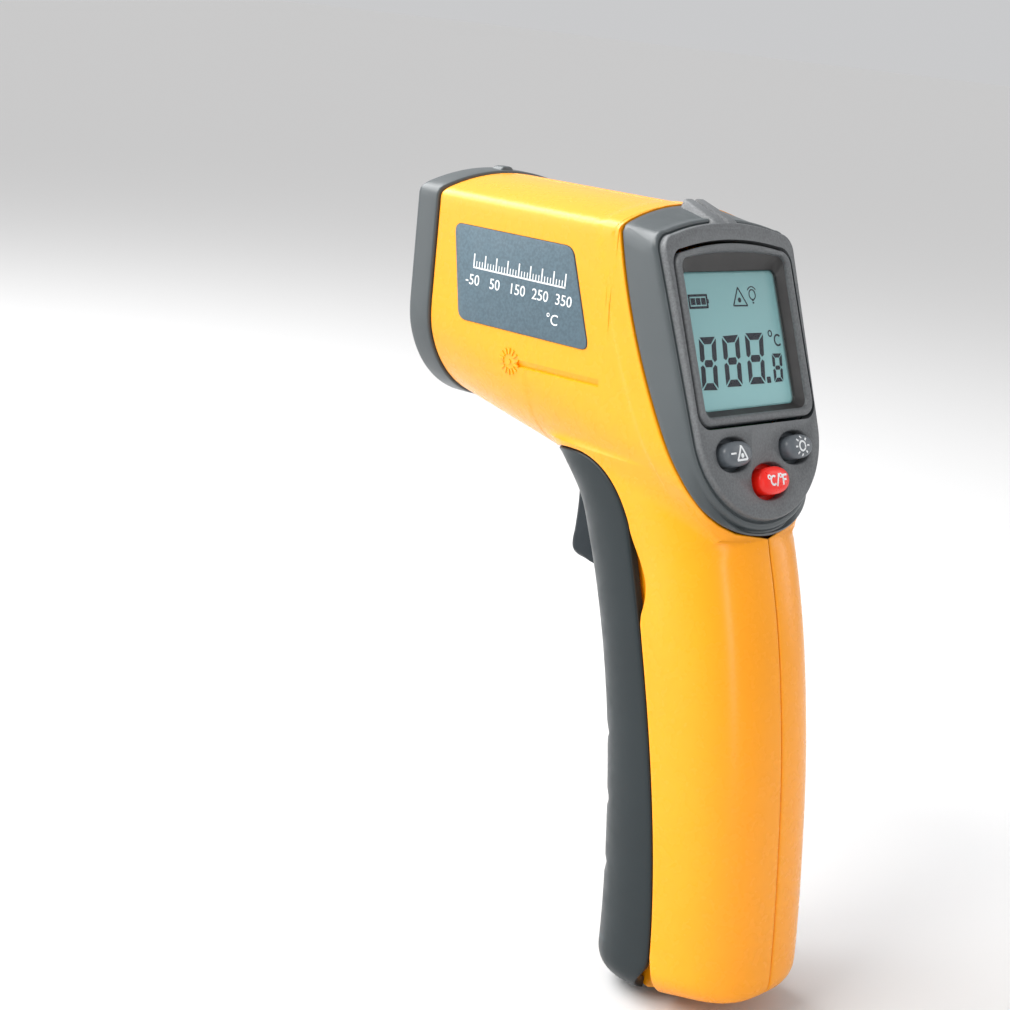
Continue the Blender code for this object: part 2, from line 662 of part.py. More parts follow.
def panel_outline(half_top, half_low, top, arch, corner, low, tip, steps=6):
    """Closed shield-shaped outline (across, down): arched top, long sides, rounded bottom."""
    half = []
    flat = half_top - corner
    for k in range(steps):
        x = flat * k / steps
        half.append((x, top + arch * (x / half_top)**2))
    corner_top = top + arch * (flat / half_top)**2
    for k in range(5):
        a = math.radians(90 * k / 4)
        half.append((flat + corner * math.sin(a), corner_top + corner * (1 - math.cos(a))))
    for k in range(1, steps):
        share = k / steps
        down = corner_top + corner + (low - corner_top - corner) * share
        half.append((half_top + (half_low - half_top) * share, down))
    for k in range(2 * steps + 1):
        a = math.radians(90 * k / (2 * steps))
        half.append((half_low * math.cos(a), low + (tip - low) * math.sin(a)))
    return half + [(-x, t) for x, t in reversed(half[1:-1])]


def on_panel(outline, out):
    """Panel outline points as drawing points at a level above the display surface."""
    c, s = math.cos(PANEL_TILT), math.sin(PANEL_TILT)
    return [(x, PANEL_ORIGIN[1] - s * down - c * out, PANEL_ORIGIN[2] - c * down + s * out)
            for x, down in outline]


def seam_point_at(down, gap):
    """Point of the rear seam at a distance down the panel."""
    low, high = -0.05, 1.08
    for _ in range(30):
        middle = (low + high) / 2
        if panel_coordinates(*rear_seam(middle, gap))[0] < down:
            low = middle
        else:
            high = middle
    return rear_seam(low, gap)


def on_seam(outline, gap):
    return [(x, *seam_point_at(down, gap)) for x, down in outline]


def envelope_at_seam(down, gap):
    return float(half_width(*seam_point_at(down, gap)))


def seam_outline(gap, grow):
    """Panel outline whose points, laid on the seam, follow the outer surface of the case."""
    top = panel_coordinates(*rear_seam(0.0, gap))[0]
    tip = panel_coordinates(*rear_seam(0.985, gap))[0]
    outline = panel_outline(HEAD_HALF_WIDTH, 19.0, top, 3.0, 3.0, 33.0, tip)
    result = []
    for x, down in outline:
        if down < top + 5 or down > 36:
            inner, outer = (20.0, top - 1) if down < top + 5 else (30.0, tip + 2)
            for _ in range(26):
                middle = (inner + outer) / 2
                if envelope_at_seam(middle, gap) > min(abs(x), 19.2):
                    inner = middle
                else:
                    outer = middle
            down = inner
        x_here = envelope_at_seam(down, gap) if abs(x) > 16 else abs(x)
        result.append((math.copysign(x_here + (grow if abs(x) > 1 else 0), x), down))
    return result


def make_rear_bezel(material):
    inside = panel_outline(18.2, 16.9, -7.6, 3.0, 3.0, 31, 46.3)
    seam_inside = panel_outline(18.2, 17.4, -6.6, 2.4, 3.0, 32, 48.2)
    rings = [
        on_panel(inside, FACE_INSIDE),
        on_seam(seam_inside, GAP + 0.25),
        on_seam(seam_outline(GAP, 0.15), GAP),
        on_panel(panel_outline(20.7, 19.6, -10.4, 3.4, 3.6, 31, 50.1), -0.1),
        on_panel(panel_outline(20.2, 19.0, -9.7, 3.3, 3.4, 31, 49.0), 0.3),
        on_panel(panel_outline(20.1, 18.9, -9.4, 3.2, 3.4, 31, 48.4), 1.2),
        on_panel(panel_outline(19.7, 18.5, -9.0, 3.1, 3.2, 31, 47.9), FACE_LEVEL),
    ]
    bezel = link("rear_bezel", *loft(rings), material=material, smooth=30)
    sight = loft([
        [(-4.2, -5.6, 155.0), (4.2, -5.6, 155.0), (4.2, -15.0, 155.0), (-4.2, -15.0, 155.0)],
        [(-3.4, -6.4, 159.3), (3.4, -6.4, 159.3), (3.4, -13.4, 156.9), (-3.4, -13.4, 156.9)],
    ])
    combine(bezel, cutter("rear_sight", sight), "UNION")
    groove = slab(((-0.7, 0), (0.7, 0), (1.2, 4), (-1.2, 4)), -16.0, -4.0, "front")
    groove = ([(x, y, 157.3 + z) for x, y, z in groove[0]], groove[1])
    combine(bezel, cutter("sight_groove", groove), "DIFFERENCE")
    middle = (RECESS_TOP + RECESS_BOTTOM) / 2
    mouth = rounded_rectangle(2 * RECESS_HALF_WIDTH, RECESS_BOTTOM - RECESS_TOP, 2.5, (0, middle))
    floor = rounded_rectangle(DISPLAY_WIDTH, DISPLAY_HEIGHT, 1.5, (0, DISPLAY_HEIGHT / 2))
    window = loft([on_panel(mouth, 2.4), on_panel(floor, 0.0), on_panel(floor, -2.0)])
    combine(bezel, cutter("display_recess", window), "DIFFERENCE")
    for name, (x, down, half_w, half_h) in BUTTONS.items():
        hole = oval(half_w, half_h, (x, down))
        combine(bezel, cutter(name + "_hole", loft([on_panel(hole, 3), on_panel(hole, -3)])), "DIFFERENCE")


# ---------------------------------------------------------------- display, buttons and boards
def plate(width, height, radius, centre_down, low, high):
    return slab(rounded_rectangle(width, height, radius, (0, -centre_down)), low, high)


def make_display(frame, materials):
    link("display_window", *plate(30.9, 29.2, 1.5, 13.4, -1.7, -0.9), materials["clear"], frame)
    link("display_glass", *plate(30.9, 31.2, 0.8, 13.8, -4.2, -2.0), materials["display"], frame)
    link("backlight_plate", *plate(30.0, 26.6, 1.0, 12.9, -6.5, -4.5), materials["white"], frame)
    link("contact_strip", *plate(28.0, 1.9, 0.4, 28.2, -8.3, -4.5), materials["rubber"], frame)
    holder = link("display_holder", *plate(33.3, 33.8, 1.5, 13.7, -6.9, -1.1), materials["board_black"], frame)
    opening = slab(rounded_rectangle(31.5, 31.9, 1.0, (0, -13.8)), -8, 0)
    combine(holder, cutter("holder_opening", opening, frame), "DIFFERENCE")


def make_board(frame, materials):
    outline = ((-17.2, 3), (17.2, 3), (17.2, -31), (14.0, -35), (11.0, -46), (-11.0, -46), (-14.0, -35),
               (-17.2, -31))
    link("main_board", *slab(outline, -10.2, -8.6), materials["board"], frame)
    chip = rounded_rectangle(10.0, 10.0, 0.4, (3.0, -12.0))
    link("controller_chip", *slab(chip, -12.6, -10.5), materials["board_black"], frame)


def make_buttons(frame, materials):
    for name, (x, down, half_w, half_h) in BUTTONS.items():
        centre = (x, -down)
        levels = ((-2.2, -0.4), (-1.9, 0.35), (-1.0, 0.35), (-1.0, -0.3), (2.7, -0.35), (3.4, -0.9),
                  (BUTTON_TOP, -2.2))
        rings = []
        for level, grow in levels:
            ring = oval(half_w + grow, half_h + grow, centre)
            rings.append([(a, b, level) for a, b in ring])
        colour = materials["red"] if name == "button_unit" else materials["button"]
        link(name, *loft(rings), colour, frame)
        switch = "switch_" + name.split("_")[1]
        body = rounded_rectangle(5.2, 4.6, 0.5, centre, 2)
        stem = oval(1.5, 1.5, centre, 12, 2.0)
        foot, cap = [(a, b, -8.3) for a, b in body], [(a, b, -5.2) for a, b in body]
        thing = link(switch, *loft([foot, cap]), materials["board_black"], frame)
        low, high = [(a, b, -6.0) for a, b in stem], [(a, b, -3.4) for a, b in stem]
        combine(thing, cutter(switch + "_stem", loft([low, high]), frame), "UNION")


def make_inside(materials):
    centre = (0, 0, LENS_Z)
    tube = [(8.9, 46.3), (10.1, 46.3), (10.1, 42.4), (11.6, 42.4), (11.6, 41.2), (9.6, 41.2), (9.6, 22.0),
            (5.3, 22.0), (5.3, 33.6), (6.4, 33.6)]
    link("lens_tube", *turned_ring(tube, centre, "y", 40), materials["board_black"])
    lens = [(6.0, 34.0), (6.0, 35.2), (4.6, 35.7), (2.4, 36.0), (0.6, 36.1)]
    link("ir_lens", *turned(lens, centre, "y", 32), materials["lens"])
    ring = [(5.3, 36.4), (6.4, 36.4), (6.7, 37.6), (5.3, 37.6)]
    link("lens_ring", *turned_ring(ring, centre, "y", 32), materials["steel"])
    can = [(4.8, 22.4), (4.8, 23.2), (4.1, 23.2), (4.1, 26.6), (3.8, 26.9), (1.6, 26.9), (1.6, 26.5)]
    link("thermopile", *turned(can, centre, "y", 28), materials["steel"])
    link("sensor_board", *turned([(9.0, 20.0), (9.0, 21.6)], centre, "y", 28), materials["board"])
    centre = (0, 0, LASER_Z)
    laser = [(3.0, 27.0), (3.0, 42.0), (3.3, 42.0), (3.3, 44.3), (1.4, 44.3), (1.4, 42.0)]
    link("laser_module", *turned(laser, centre, "y", 24), materials["brass"])
    link("laser_window", *turned([(3.25, 44.7), (3.25, 45.3)], centre, "y", 24), materials["laser_red"])
    clip = [(3.3, 38.4), (4.4, 38.4), (4.4, 40.9), (3.3, 40.9)]
    link("laser_clip", *turned_ring(clip, centre, "y", 24), materials["board_black"])
    buzzer = [(6.0, 9.0), (6.0, 12.2), (1.0, 12.2), (1.0, 11.6)]
    link("buzzer", *turned(buzzer, (0, 14.0, 136.0), "x", 24), materials["board_black"])
    board = box((-6.0, -10.8, 82.5), (6.0, -9.2, 97.0))
    link("switch_board", *board, materials["board"])
    switch = link("trigger_switch", *box((-3.0, -8.9, 84.4), (3.0, -5.8, 90.4)), materials["board_black"])
    stem = turned([(1.5, -6.4), (1.5, -4.6)], (0, 0, 87.4), "y", 12)
    combine(switch, cutter("trigger_switch_stem", stem), "UNION")
    y, z = TRIGGER_PIVOT
    spring = coil(2.3, 3.5, 2.2, 0.25, (-8.8 - 2.4, y, z), "x", per_turn=14)
    link("trigger_spring", *spring, materials["steel"])


def make_power(frame, materials):
    tray = link("battery_tray", *box((-12.4, -7.6, -27.5), (12.4, 5.5, 27.5)), materials["board_black"], frame)
    room = joined(box((-11.4, -6.4, -26.2), (-0.4, 8.0, 26.2)), box((0.4, -6.4, -26.2), (11.4, 8.0, 26.2)))
    combine(tray, cutter("tray_rooms", room, frame), "DIFFERENCE")
    half = CELL_LENGTH / 2
    for name, x, up in (("battery_left", -5.9, 1), ("battery_right", 5.9, -1)):
        profile = [(CELL_RADIUS, -half * up), (CELL_RADIUS, (half - 1.0) * up), (2.0, (half - 1.0) * up),
                   (2.0, half * up)]
        link(name, *turned(profile, (x, -0.6, 0), "z", 28), materials["cell"], frame)
        end = -up
        spring = coil(3.6, 2.5, -end * 2.6, 0.3, (x, -0.6, end * 25.4), "z", 2.2, 12)
        link(name.replace("battery", "contact_spring"), *spring, materials["steel"], frame)
        low, high = sorted((up * 24.9, up * 25.4))
        tab = slab(rounded_rectangle(8.0, 8.0, 1.0, (x, -0.6), 2), low, high)
        link(name.replace("battery", "contact_tab"), *tab, materials["brass"], frame)


def make_wires(materials):
    for name, x, colour in (("battery_lead_red", 9.2, "wire_red"), ("battery_lead_black", -9.2, "wire_black")):
        ends = ((x, -25.4, 78.2), (x, -19.0, 82.0), (x, -17.5, 93.0), (x * 0.9, -25.6, 98.5))
        link(name, *pipe(bezier(*ends, np.linspace(0, 1, 12)), 0.55, 8), materials[colour])
    ribbon = []
    for y, z in bezier((19.2, 131.0), (8.0, 133.0), (10.0, 128.0), (0.5, 127.5), np.linspace(0, 1, 12)):
        ribbon.append([(-3.0, y, z - 0.2), (3.0, y, z - 0.2), (3.0, y, z + 0.2), (-3.0, y, z + 0.2)])
    link("sensor_cable", *loft(ribbon), materials["wire_black"])


# ---------------------------------------------------------------- the whole thermometer
def main():
    for thing in list(bpy.data.objects):
        bpy.data.objects.remove(thing, do_unlink=True)
    materials = {
        "orange": make_material("shell_orange", (0.95, 0.38, 0.02), 0.38),
        "bezel": make_material("bezel_grey", (0.12, 0.125, 0.13), 0.55),
        "slate": make_material("grip_slate", (0.05, 0.065, 0.075), 0.5),
        "label": make_material("label_blue_grey", (0.12, 0.2, 0.25), 0.6),
        "button": make_material("button_grey", (0.16, 0.18, 0.2), 0.5),
        "red": make_material("button_red", (0.85, 0.01, 0.005), 0.35),
        "clear": make_material("window_clear", (0.9, 0.95, 0.95), 0.05, alpha=0.15),
        "display": make_material("display_teal", (0.28, 0.48, 0.5), 0.3),
        "white": make_material("diffuser_white", (0.85, 0.85, 0.85), 0.5),
        "rubber": make_material("zebra_rubber", (0.15, 0.15, 0.16), 0.7),
        "board": make_material("board_green", (0.03, 0.2, 0.08), 0.4),
        "board_black": make_material("black_plastic", (0.02, 0.02, 0.022), 0.45),
        "lens": make_material("lens_smoke", (0.18, 0.17, 0.2), 0.15),
        "steel": make_material("steel", (0.6, 0.6, 0.6), 0.3, 1.0),
        "brass": make_material("brass", (0.75, 0.55, 0.25), 0.3, 1.0),
        "laser_red": make_material("laser_window_red", (0.35, 0.02, 0.02), 0.1),
        "cell": make_material("cell_jacket", (0.3, 0.32, 0.35), 0.35, 0.5),
        "wire_red": make_material("wire_red", (0.6, 0.02, 0.02), 0.5),
        "wire_black": make_material("wire_black", (0.02, 0.02, 0.02), 0.5),
    }
    panel = make_frame("panel_frame", PANEL_ORIGIN, math.pi / 2 - PANEL_TILT)
    grip = make_frame("grip_frame", TRAY_ORIGIN, -GRIP_RAKE)
    make_shell("left_shell", -1, materials["orange"])
    make_shell("right_shell", 1, materials["orange"])
    make_screws(materials["steel"])
    make_labels(materials["label"])
    door_pin = make_door(materials["slate"])
    trigger_pin = make_trigger(materials["slate"])
    link("door_pin", *door_pin, material=materials["steel"])
    link("trigger_pin", *trigger_pin, material=materials["steel"])
    make_front_bezel(materials["bezel"])
    make_rear_bezel(materials["bezel"])
    make_display(panel, materials)
    make_board(panel, materials)
    make_buttons(panel, materials)
    make_inside(materials)
    make_power(grip, materials)
    make_wires(materials)


main()
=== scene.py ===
"""Looks of the pocket infrared thermometer: fine shells, bezels, grip, trigger, keys and display.

Sizes are millimetres in a drawing frame; metres() turns them into the shared frame's metres.
Pieces that replace a CAD node follow the same surface at a finer pitch.
"""

import json
import math

import bmesh
import bpy
import numpy as np
from mathutils import Matrix, Vector


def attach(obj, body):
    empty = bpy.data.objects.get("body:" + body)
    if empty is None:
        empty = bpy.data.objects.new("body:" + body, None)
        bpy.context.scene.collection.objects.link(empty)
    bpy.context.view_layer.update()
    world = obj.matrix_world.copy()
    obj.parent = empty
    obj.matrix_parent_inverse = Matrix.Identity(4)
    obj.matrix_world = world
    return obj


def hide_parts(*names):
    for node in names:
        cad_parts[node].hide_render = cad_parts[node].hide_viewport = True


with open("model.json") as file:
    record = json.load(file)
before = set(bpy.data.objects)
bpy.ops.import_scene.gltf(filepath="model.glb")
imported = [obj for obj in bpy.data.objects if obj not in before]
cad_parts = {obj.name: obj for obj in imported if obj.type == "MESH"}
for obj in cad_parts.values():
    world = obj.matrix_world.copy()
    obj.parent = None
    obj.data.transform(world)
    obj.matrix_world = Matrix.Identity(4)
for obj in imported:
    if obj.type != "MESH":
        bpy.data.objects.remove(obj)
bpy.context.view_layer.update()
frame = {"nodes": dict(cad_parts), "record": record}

# ---------------------------------------------------------------- driving dimensions (millimetres)
BASE_Y = -28.0            # drawing position of the origin, the middle of the grip
BASE_Z = 56.0
FLOOR_LEVEL = 2.0
GAP = 0.3
WALL = 2.0
RIM_RADIUS = 0.4          # rounding of a moulded rim

HEAD_TOP = 157.75
HEAD_HALF_WIDTH = 20.2
HEAD_CROWN = 10.1
FRONT_SEAM_Y = 42.5
FRONT_FACE_Y = 48.8
KEEL_FRONT_Z = 111.0
KEEL_SLOPE = 0.22
KEEL_RADIUS = 21.0

GRIP_HALF_WIDTH = 17.0
GRIP_TOP = 110.0
GRIP_BACK = ((0, -49.4), (10, -49.3), (35, -47.4), (60, -44.2), (85, -38.8), (100, -34.0),
             (120, -26.5))
GRIP_FRONT = ((0, -11.8), (10, -11.9), (35, -10.3), (60, -6.6), (80, -1.4), (92, 2.9),
              (100, 6.6), (107, 13.0))
BACK_TOP = 98.0           # between these levels the back edge is the grip's, above the rounded butt
BACK_BOTTOM = 17.0
GRIP_BACK_POWER = 2.8
GRIP_FRONT_POWER = 3.0
BUTT_LEVEL = ((-50, 3.2), (-46, 4.2), (-38, 4.6), (-32, 3.6), (-25, 2.3), (-17, 1.9), (-11, 2.4))
BUTT_HEIGHT = 8.0
BUTT_POWER = 2.4

PANEL_ORIGIN = (0.0, -17.12, 146.96)
PANEL_TILT = math.radians(20.62)
CHIN_LEVEL = 31.0         # down the panel, where the head's sides start to draw in to the chin
CHIN_TIP = 50.3
CHIN_SLOPE = 1.3
CHIN_REACH = 14.0         # in front of the panel by this much there is no head left
FACE_LEVEL = 1.6
FACE_INSIDE = -0.6
BAND_LEVEL = 0.1          # the bezel is textured above this height and satin below it
WINDOW_HALF = 14.55
WINDOW_BOTTOM = 26.3

BUTTONS = {
    "button_laser": (-9.6, 34.85, 5.0, 3.25),
    "button_light": (9.8, 35.05, 5.0, 3.25),
    "button_unit": (0.2, 40.8, 5.5, 3.55),
}
KEY_INSET = 0.85          # gap between a key's cap and the hole's outline
KEY_SHOULDER = 2.1
KEY_DOME = 1.35

LENS_Z = 126.0
LENS_HOLE = 10.4
LASER_Z = 143.0
LASER_HOLE = 3.6

TRIGGER_PIVOT = (1.0, 104.0)
TRIGGER_HALF_WIDTH = 4.7
TRIGGER_EDGE = 1.6        # the part of its half-width that the rounding of its edges takes
TRIGGER_BORE = 1.4
TRIGGER_PROFILE = (
    (11.1, 105.4), (11.3, 100.5), (11.1, 95.0), (11.3, 89.8), (11.6, 87.2), (11.3, 85.2),
    (9.9, 84.1), (7.2, 83.7), (-1.4, 82.9), (-1.6, 91.0), (-0.6, 98.5), (-2.0, 102.8),
    (-1.4, 106.0), (0.8, 107.1), (4.0, 106.9),
)
SLOT_HALF_WIDTH = 5.3
SLOT_PROFILE = ((-12, 81.6), (40, 81.6), (40, 101.5), (12.3, 101.5), (12.3, 118), (-12, 118))
DOOR_PIVOT = (-27.4, 7.0)
DOOR_BORE = 1.0 + GAP
BARREL_RADIUS = 2.2
BARREL_HALF_LENGTH = 7.7

LABEL_OUTLINE = ((37.4, 148.2), (5.4, 148.2), (-1.2, 129.4), (34.1, 129.4))
LABEL_DEPTH = 0.75
LABEL_THICKNESS = 0.4
SCREWS = ((34.0, 150.2), (14.5, 121.0), (-28.0, 87.0), (-37.5, 19.0))
POST_RADIUS = 3.2         # screw posts of the left shell
SOCKET_RADIUS = 3.9       # posts of the right shell, which the screws go through
SCREW_SEAT = 3.6

DOOR_EDGE = (
    ((14.8, 104.95), (12.8, 107.0), (9.2, 108.9), (2.0, 109.0)),
    ((2.0, 109.0), (-4.5, 109.0), (-10.3, 104.3), (-13.5, 97.7)),
    ((-13.5, 97.7), (-20.8, 75.0), (-30.0, 42.0), (-31.5, 14.0)),
)
SHELL_HEEL = ((-31.5, 14.0), (-32.3, 9.5), (-33.4, 7.5), (-31.6, 3.9))
DOOR_HEEL = ((-31.2, 14.0), (-31.2, 9.6), (-27.6, 7.8), (-26.6, 3.7))
NOTCH_TOP = 97.2          # thumb notch in the shell beside the door
NOTCH_BOTTOM = 80.0
NOTCH_DEPTH = 2.1
LIP_DEPTH = 2.9           # the tongue inside the notch lies this much below the case surface
MARK_CENTRE = (19.3, 123.4)
MARK_HEIGHT = 0.22
MARK_RAYS = 14
CHANNEL_ENDS = (17.1, -4.6)
GRIP_GROOVES = (54.0, 40.5, 27.0)
FLAT_SIDES = 12           # a face with more sides than this is a flat cap
NEAR_PARTING = 1.6        # a row of the shell that ends closer than this ends on the parting plane


# ---------------------------------------------------------------- numbers and curves
def smooth_min(a, b, blend):
    share = np.clip(0.5 + 0.5 * (b - a) / blend, 0, 1)
    return b + (a - b) * share - blend * share * (1 - share)


def smooth_step(low, high, x):
    t = np.clip((x - low) / (high - low), 0, 1)
    return t * t * (3 - 2 * t)


def through(points, x):
    """Smooth curve through a few (x, value) points, carried on straight past its ends."""
    xs, ys = np.array(points, float).T
    slopes = np.gradient(ys, xs)
    x = np.asarray(x, float)
    i = np.clip(np.searchsorted(xs, x) - 1, 0, len(xs) - 2)
    step = xs[i + 1] - xs[i]
    t = np.clip((x - xs[i]) / step, 0, 1)
    value = (2 * t**3 - 3 * t**2 + 1) * ys[i] + (t**3 - 2 * t**2 + t) * step * slopes[i]
    value = value + (3 * t**2 - 2 * t**3) * ys[i + 1] + (t**3 - t**2) * step * slopes[i + 1]
    return value + np.minimum(x - xs[0], 0) * slopes[0] + np.maximum(x - xs[-1], 0) * slopes[-1]


def bezier(p0, p1, p2, p3, t):
    t = np.asarray(t, float)[..., None]
    p0, p1, p2, p3 = (np.array(p, float) for p in (p0, p1, p2, p3))
    return (1 - t)**3 * p0 + 3 * (1 - t)**2 * t * p1 + 3 * (1 - t) * t**2 * p2 + t**3 * p3


def ellipse_half_width(half_width_, q):
    inside = np.sqrt(np.clip(1 - q * q, 0, 1))
    outside = np.sqrt(np.clip(q * q - 1, 0, None))
    return half_width_ * np.where(q < 1, inside, -outside)


# ---------------------------------------------------------------- outer surface of the case
def panel_coordinates(y, z):
    """Distance down the display panel and out from its surface."""
    dy, dz = y - PANEL_ORIGIN[1], z - PANEL_ORIGIN[2]
    c, s = math.cos(PANEL_TILT), math.sin(PANEL_TILT)
    return -dy * s - dz * c, -dy * c + dz * s


def head_half_width(y, z):
    depth = HEAD_TOP - z
    crown = HEAD_CROWN * np.sign(depth) * np.sqrt(np.abs(depth))
    keel_centre = KEEL_FRONT_Z + KEEL_SLOPE * (y - FRONT_SEAM_Y) + KEEL_RADIUS
    keel = ellipse_half_width(HEAD_HALF_WIDTH, np.clip((keel_centre - z) / KEEL_RADIUS, 0, None))
    down, out = panel_coordinates(y, z)
    tip = CHIN_TIP - CHIN_SLOPE * out
    share = np.clip((down - CHIN_LEVEL) / np.maximum(tip - CHIN_LEVEL, 4), 0, None)
    chin = np.where(out > CHIN_REACH, -HEAD_HALF_WIDTH, ellipse_half_width(HEAD_HALF_WIDTH, share))
    return smooth_min(smooth_min(crown, keel, 3.0), chin, 1.0)


def grip_half_width(y, z):
    back = through(GRIP_BACK, z)
    front = through(GRIP_FRONT, z)
    middle = (back + front) / 2
    u = (y - middle) / np.maximum((front - back) / 2, 5)
    power = np.where(u < 0, GRIP_BACK_POWER, GRIP_FRONT_POWER)
    level = through(BUTT_LEVEL, y)
    v = np.clip(1 - (z - level) / BUTT_HEIGHT, 0, None)
    q = np.abs(u)**power + v**BUTT_POWER
    inside = np.clip(1 - q, 0, 1)**(1 / power)
    outside = np.clip(q - 1, 0, None)**(1 / power)
    into_head = np.clip(z - GRIP_TOP, 0, None)
    return GRIP_HALF_WIDTH * np.where(q < 1, inside, -outside) - 1.5 * into_head


def half_width(y, z):
    """Half-width of the closed case at a point of the side view, negative outside its outline."""
    return -smooth_min(-head_half_width(y, z), -grip_half_width(y, z), 3.0)


def outline_point(start, angle):
    """First point of the side outline met from start in a direction (degrees, 0 = +Y, 90 = +Z)."""
    direction = np.array((math.cos(math.radians(angle)), math.sin(math.radians(angle))))
    start = np.array(start, float)
    near = 0.0
    for step in (0.25, 0.0025):
        distances = near + step * np.arange(1, 320)
        points = start + direction * distances[:, None]
        outside = half_width(points[:, 0], points[:, 1]) <= 0
        near = distances[int(outside.argmax())] - step
    return start + direction * near


def rear_seam(t, gap=0.0):
    """Side view of the joint between shells and rear bezel, t = 0 at the crown, 1 at the chin."""
    ends = ((-5.0, 157.9), (-8.6, 139.0), (-16.8, 120.8), (-34.75, 98.3))
    here = bezier(*ends, t)
    tangent = bezier(*ends, np.asarray(t) + 1e-4) - bezier(*ends, np.asarray(t) - 1e-4)
    normal = np.stack((tangent[..., 1], -tangent[..., 0]), -1)
    normal /= np.linalg.norm(normal, axis=-1, keepdims=True)
    return here + normal * gap


# ---------------------------------------------------------------- meshes
def metres(points):
    points = np.array(points, float).reshape(-1, 3)
    return (points - (0.0, BASE_Y, BASE_Z)) * 0.001


def put_in_scene(name, data):
    thing = bpy.data.objects.new(name, data)
    bpy.context.scene.collection.objects.link(thing)
    return thing


def link(name, verts, faces, material=None, smooth=35):
    mesh = bpy.data.meshes.new(name)
    mesh.from_pydata([tuple(p) for p in metres(verts)], [], [tuple(f) for f in faces])
    work = bmesh.new()
    work.from_mesh(mesh)
    bmesh.ops.remove_doubles(work, verts=work.verts, dist=2e-7)
    bmesh.ops.recalc_face_normals(work, faces=work.faces)
    work.to_mesh(mesh)
    work.free()
    thing = put_in_scene(name, mesh)
    shade(thing, smooth)
    if material is not None:
        mesh.materials.append(material)
    return thing


def shade(thing, smooth=35):
    thing.data.shade_smooth()
    for face in thing.data.polygons:
        if face.loop_total > FLAT_SIDES:
            face.use_smooth = False
    thing.data.set_sharp_from_angle(angle=math.radians(smooth))


def evaluated_mesh(thing):
    bpy.context.view_layer.update()
    shaped = thing.evaluated_get(bpy.context.evaluated_depsgraph_get())
    return bpy.data.meshes.new_from_object(shaped)


def settle(thing):
    """Replaces an object's mesh by what its modifiers make of it."""
    mesh = evaluated_mesh(thing)
    thing.modifiers.clear()
    thing.data = mesh


def carve(thing, shape, operation="DIFFERENCE", smooth=35):
    tool = link(thing.name + "_tool", *shape)
    modifier = thing.modifiers.new("carve", "BOOLEAN")
    modifier.operation = operation
    modifier.object = tool
    modifier.solver = "EXACT"
    settle(thing)
    bpy.data.objects.remove(tool, do_unlink=True)
    shade(thing, smooth)


def bevel(thing, width, segments=3, angle=40):
    modifier = thing.modifiers.new("edges", "BEVEL")
    modifier.width = width * 0.001
    modifier.segments = segments
    modifier.limit_method = "ANGLE"
    modifier.angle_limit = math.radians(angle)
    modifier.use_clamp_overlap = True
    settle(thing)
    shade(thing, 60)


def strips(rows, count, base=0):
    """Quads between closed rings of count points each."""
    faces = []
    for row in range(rows - 1):
        for k in range(count):
            n = (k + 1) % count
            a, b = base + row * count, base + (row + 1) * count
            faces.append((a + k, a + n, b + n, b + k))
    return faces


def loft(rings):
    """Closed skin over closed rings, with a flat cap at each end."""
    count = len(rings[0])
    verts = [p for ring in rings for p in ring]
    caps = [list(range(count)), list(range(len(verts) - count, len(verts)))]
    return verts, caps + strips(len(rings), count)


def hoop(rings):
    """Closed skin over rings whose last one joins the first."""
    verts, faces = loft(rings)
    count = len(rings[0])
    last = len(verts) - count
    faces = faces[2:]
    for k in range(count):
        n = (k + 1) % count
        faces.append((last + k, last + n, n, k))
    return verts, faces


def slab(outline, low, high, plane="panel"):
    place = {
        "panel": lambda a, b, c: (a, b, c),
        "side": lambda a, b, c: (c, a, b),
        "front": lambda a, b, c: (a, c, b),
    }[plane]
    return loft([[place(a, b, level) for a, b in outline] for level in (low, high)])


def side_slab(outline, near, far, side):
    """A slab between two distances from the middle plane, on one side of it."""
    return slab(outline, *sorted((side * near, side * far)), "side")


def joined(*shapes):
    verts, faces = [], []
    for shape_verts, shape_faces in shapes:
        base = len(verts)
        verts += [tuple(p) for p in shape_verts]
        faces += [[base + i for i in face] for face in shape_faces]
    return verts, faces


def box(low, high):
    outline = ((low[0], low[1]), (high[0], low[1]), (high[0], high[1]), (low[0], high[1]))
    return slab(outline, low[2], high[2])


def four_corners(front, back):
    """A ring of four points: two on the right and their mirror images on the left."""
    return [(-front[0], *front[1:]), front, back, (-back[0], *back[1:])]


def turned(profile, centre, axis="y", steps=32):
    """A round piece: a closed profile of (radius, distance) turned about an axis through centre."""
    place = {
        "x": lambda r, d, c, s: (centre[0] + d, centre[1] + r * c, centre[2] + r * s),
        "y": lambda r, d, c, s: (centre[0] + r * c, centre[1] + d, centre[2] + r * s),
    }[axis]
    angles = [2 * math.pi * k / steps for k in range(steps)]
    return loft([[place(r, d, math.cos(a), math.sin(a)) for a in angles] for r, d in profile])


def rod(radius, low, high, centre, steps=24):
    """A round bar along X, through a point of the side view."""
    return turned([(radius, low), (radius, high)], (0, *centre), "x", steps)


def arc(centre, radius, start, end, count):
    """Points of a circle, or of an ellipse if radius is a pair, between two angles in degrees."""
    wide, high = radius if isinstance(radius, tuple) else (radius, radius)
    turns = np.radians(np.linspace(start, end, count))
    return [(centre[0] + wide * math.cos(a), centre[1] + high * math.sin(a)) for a in turns]


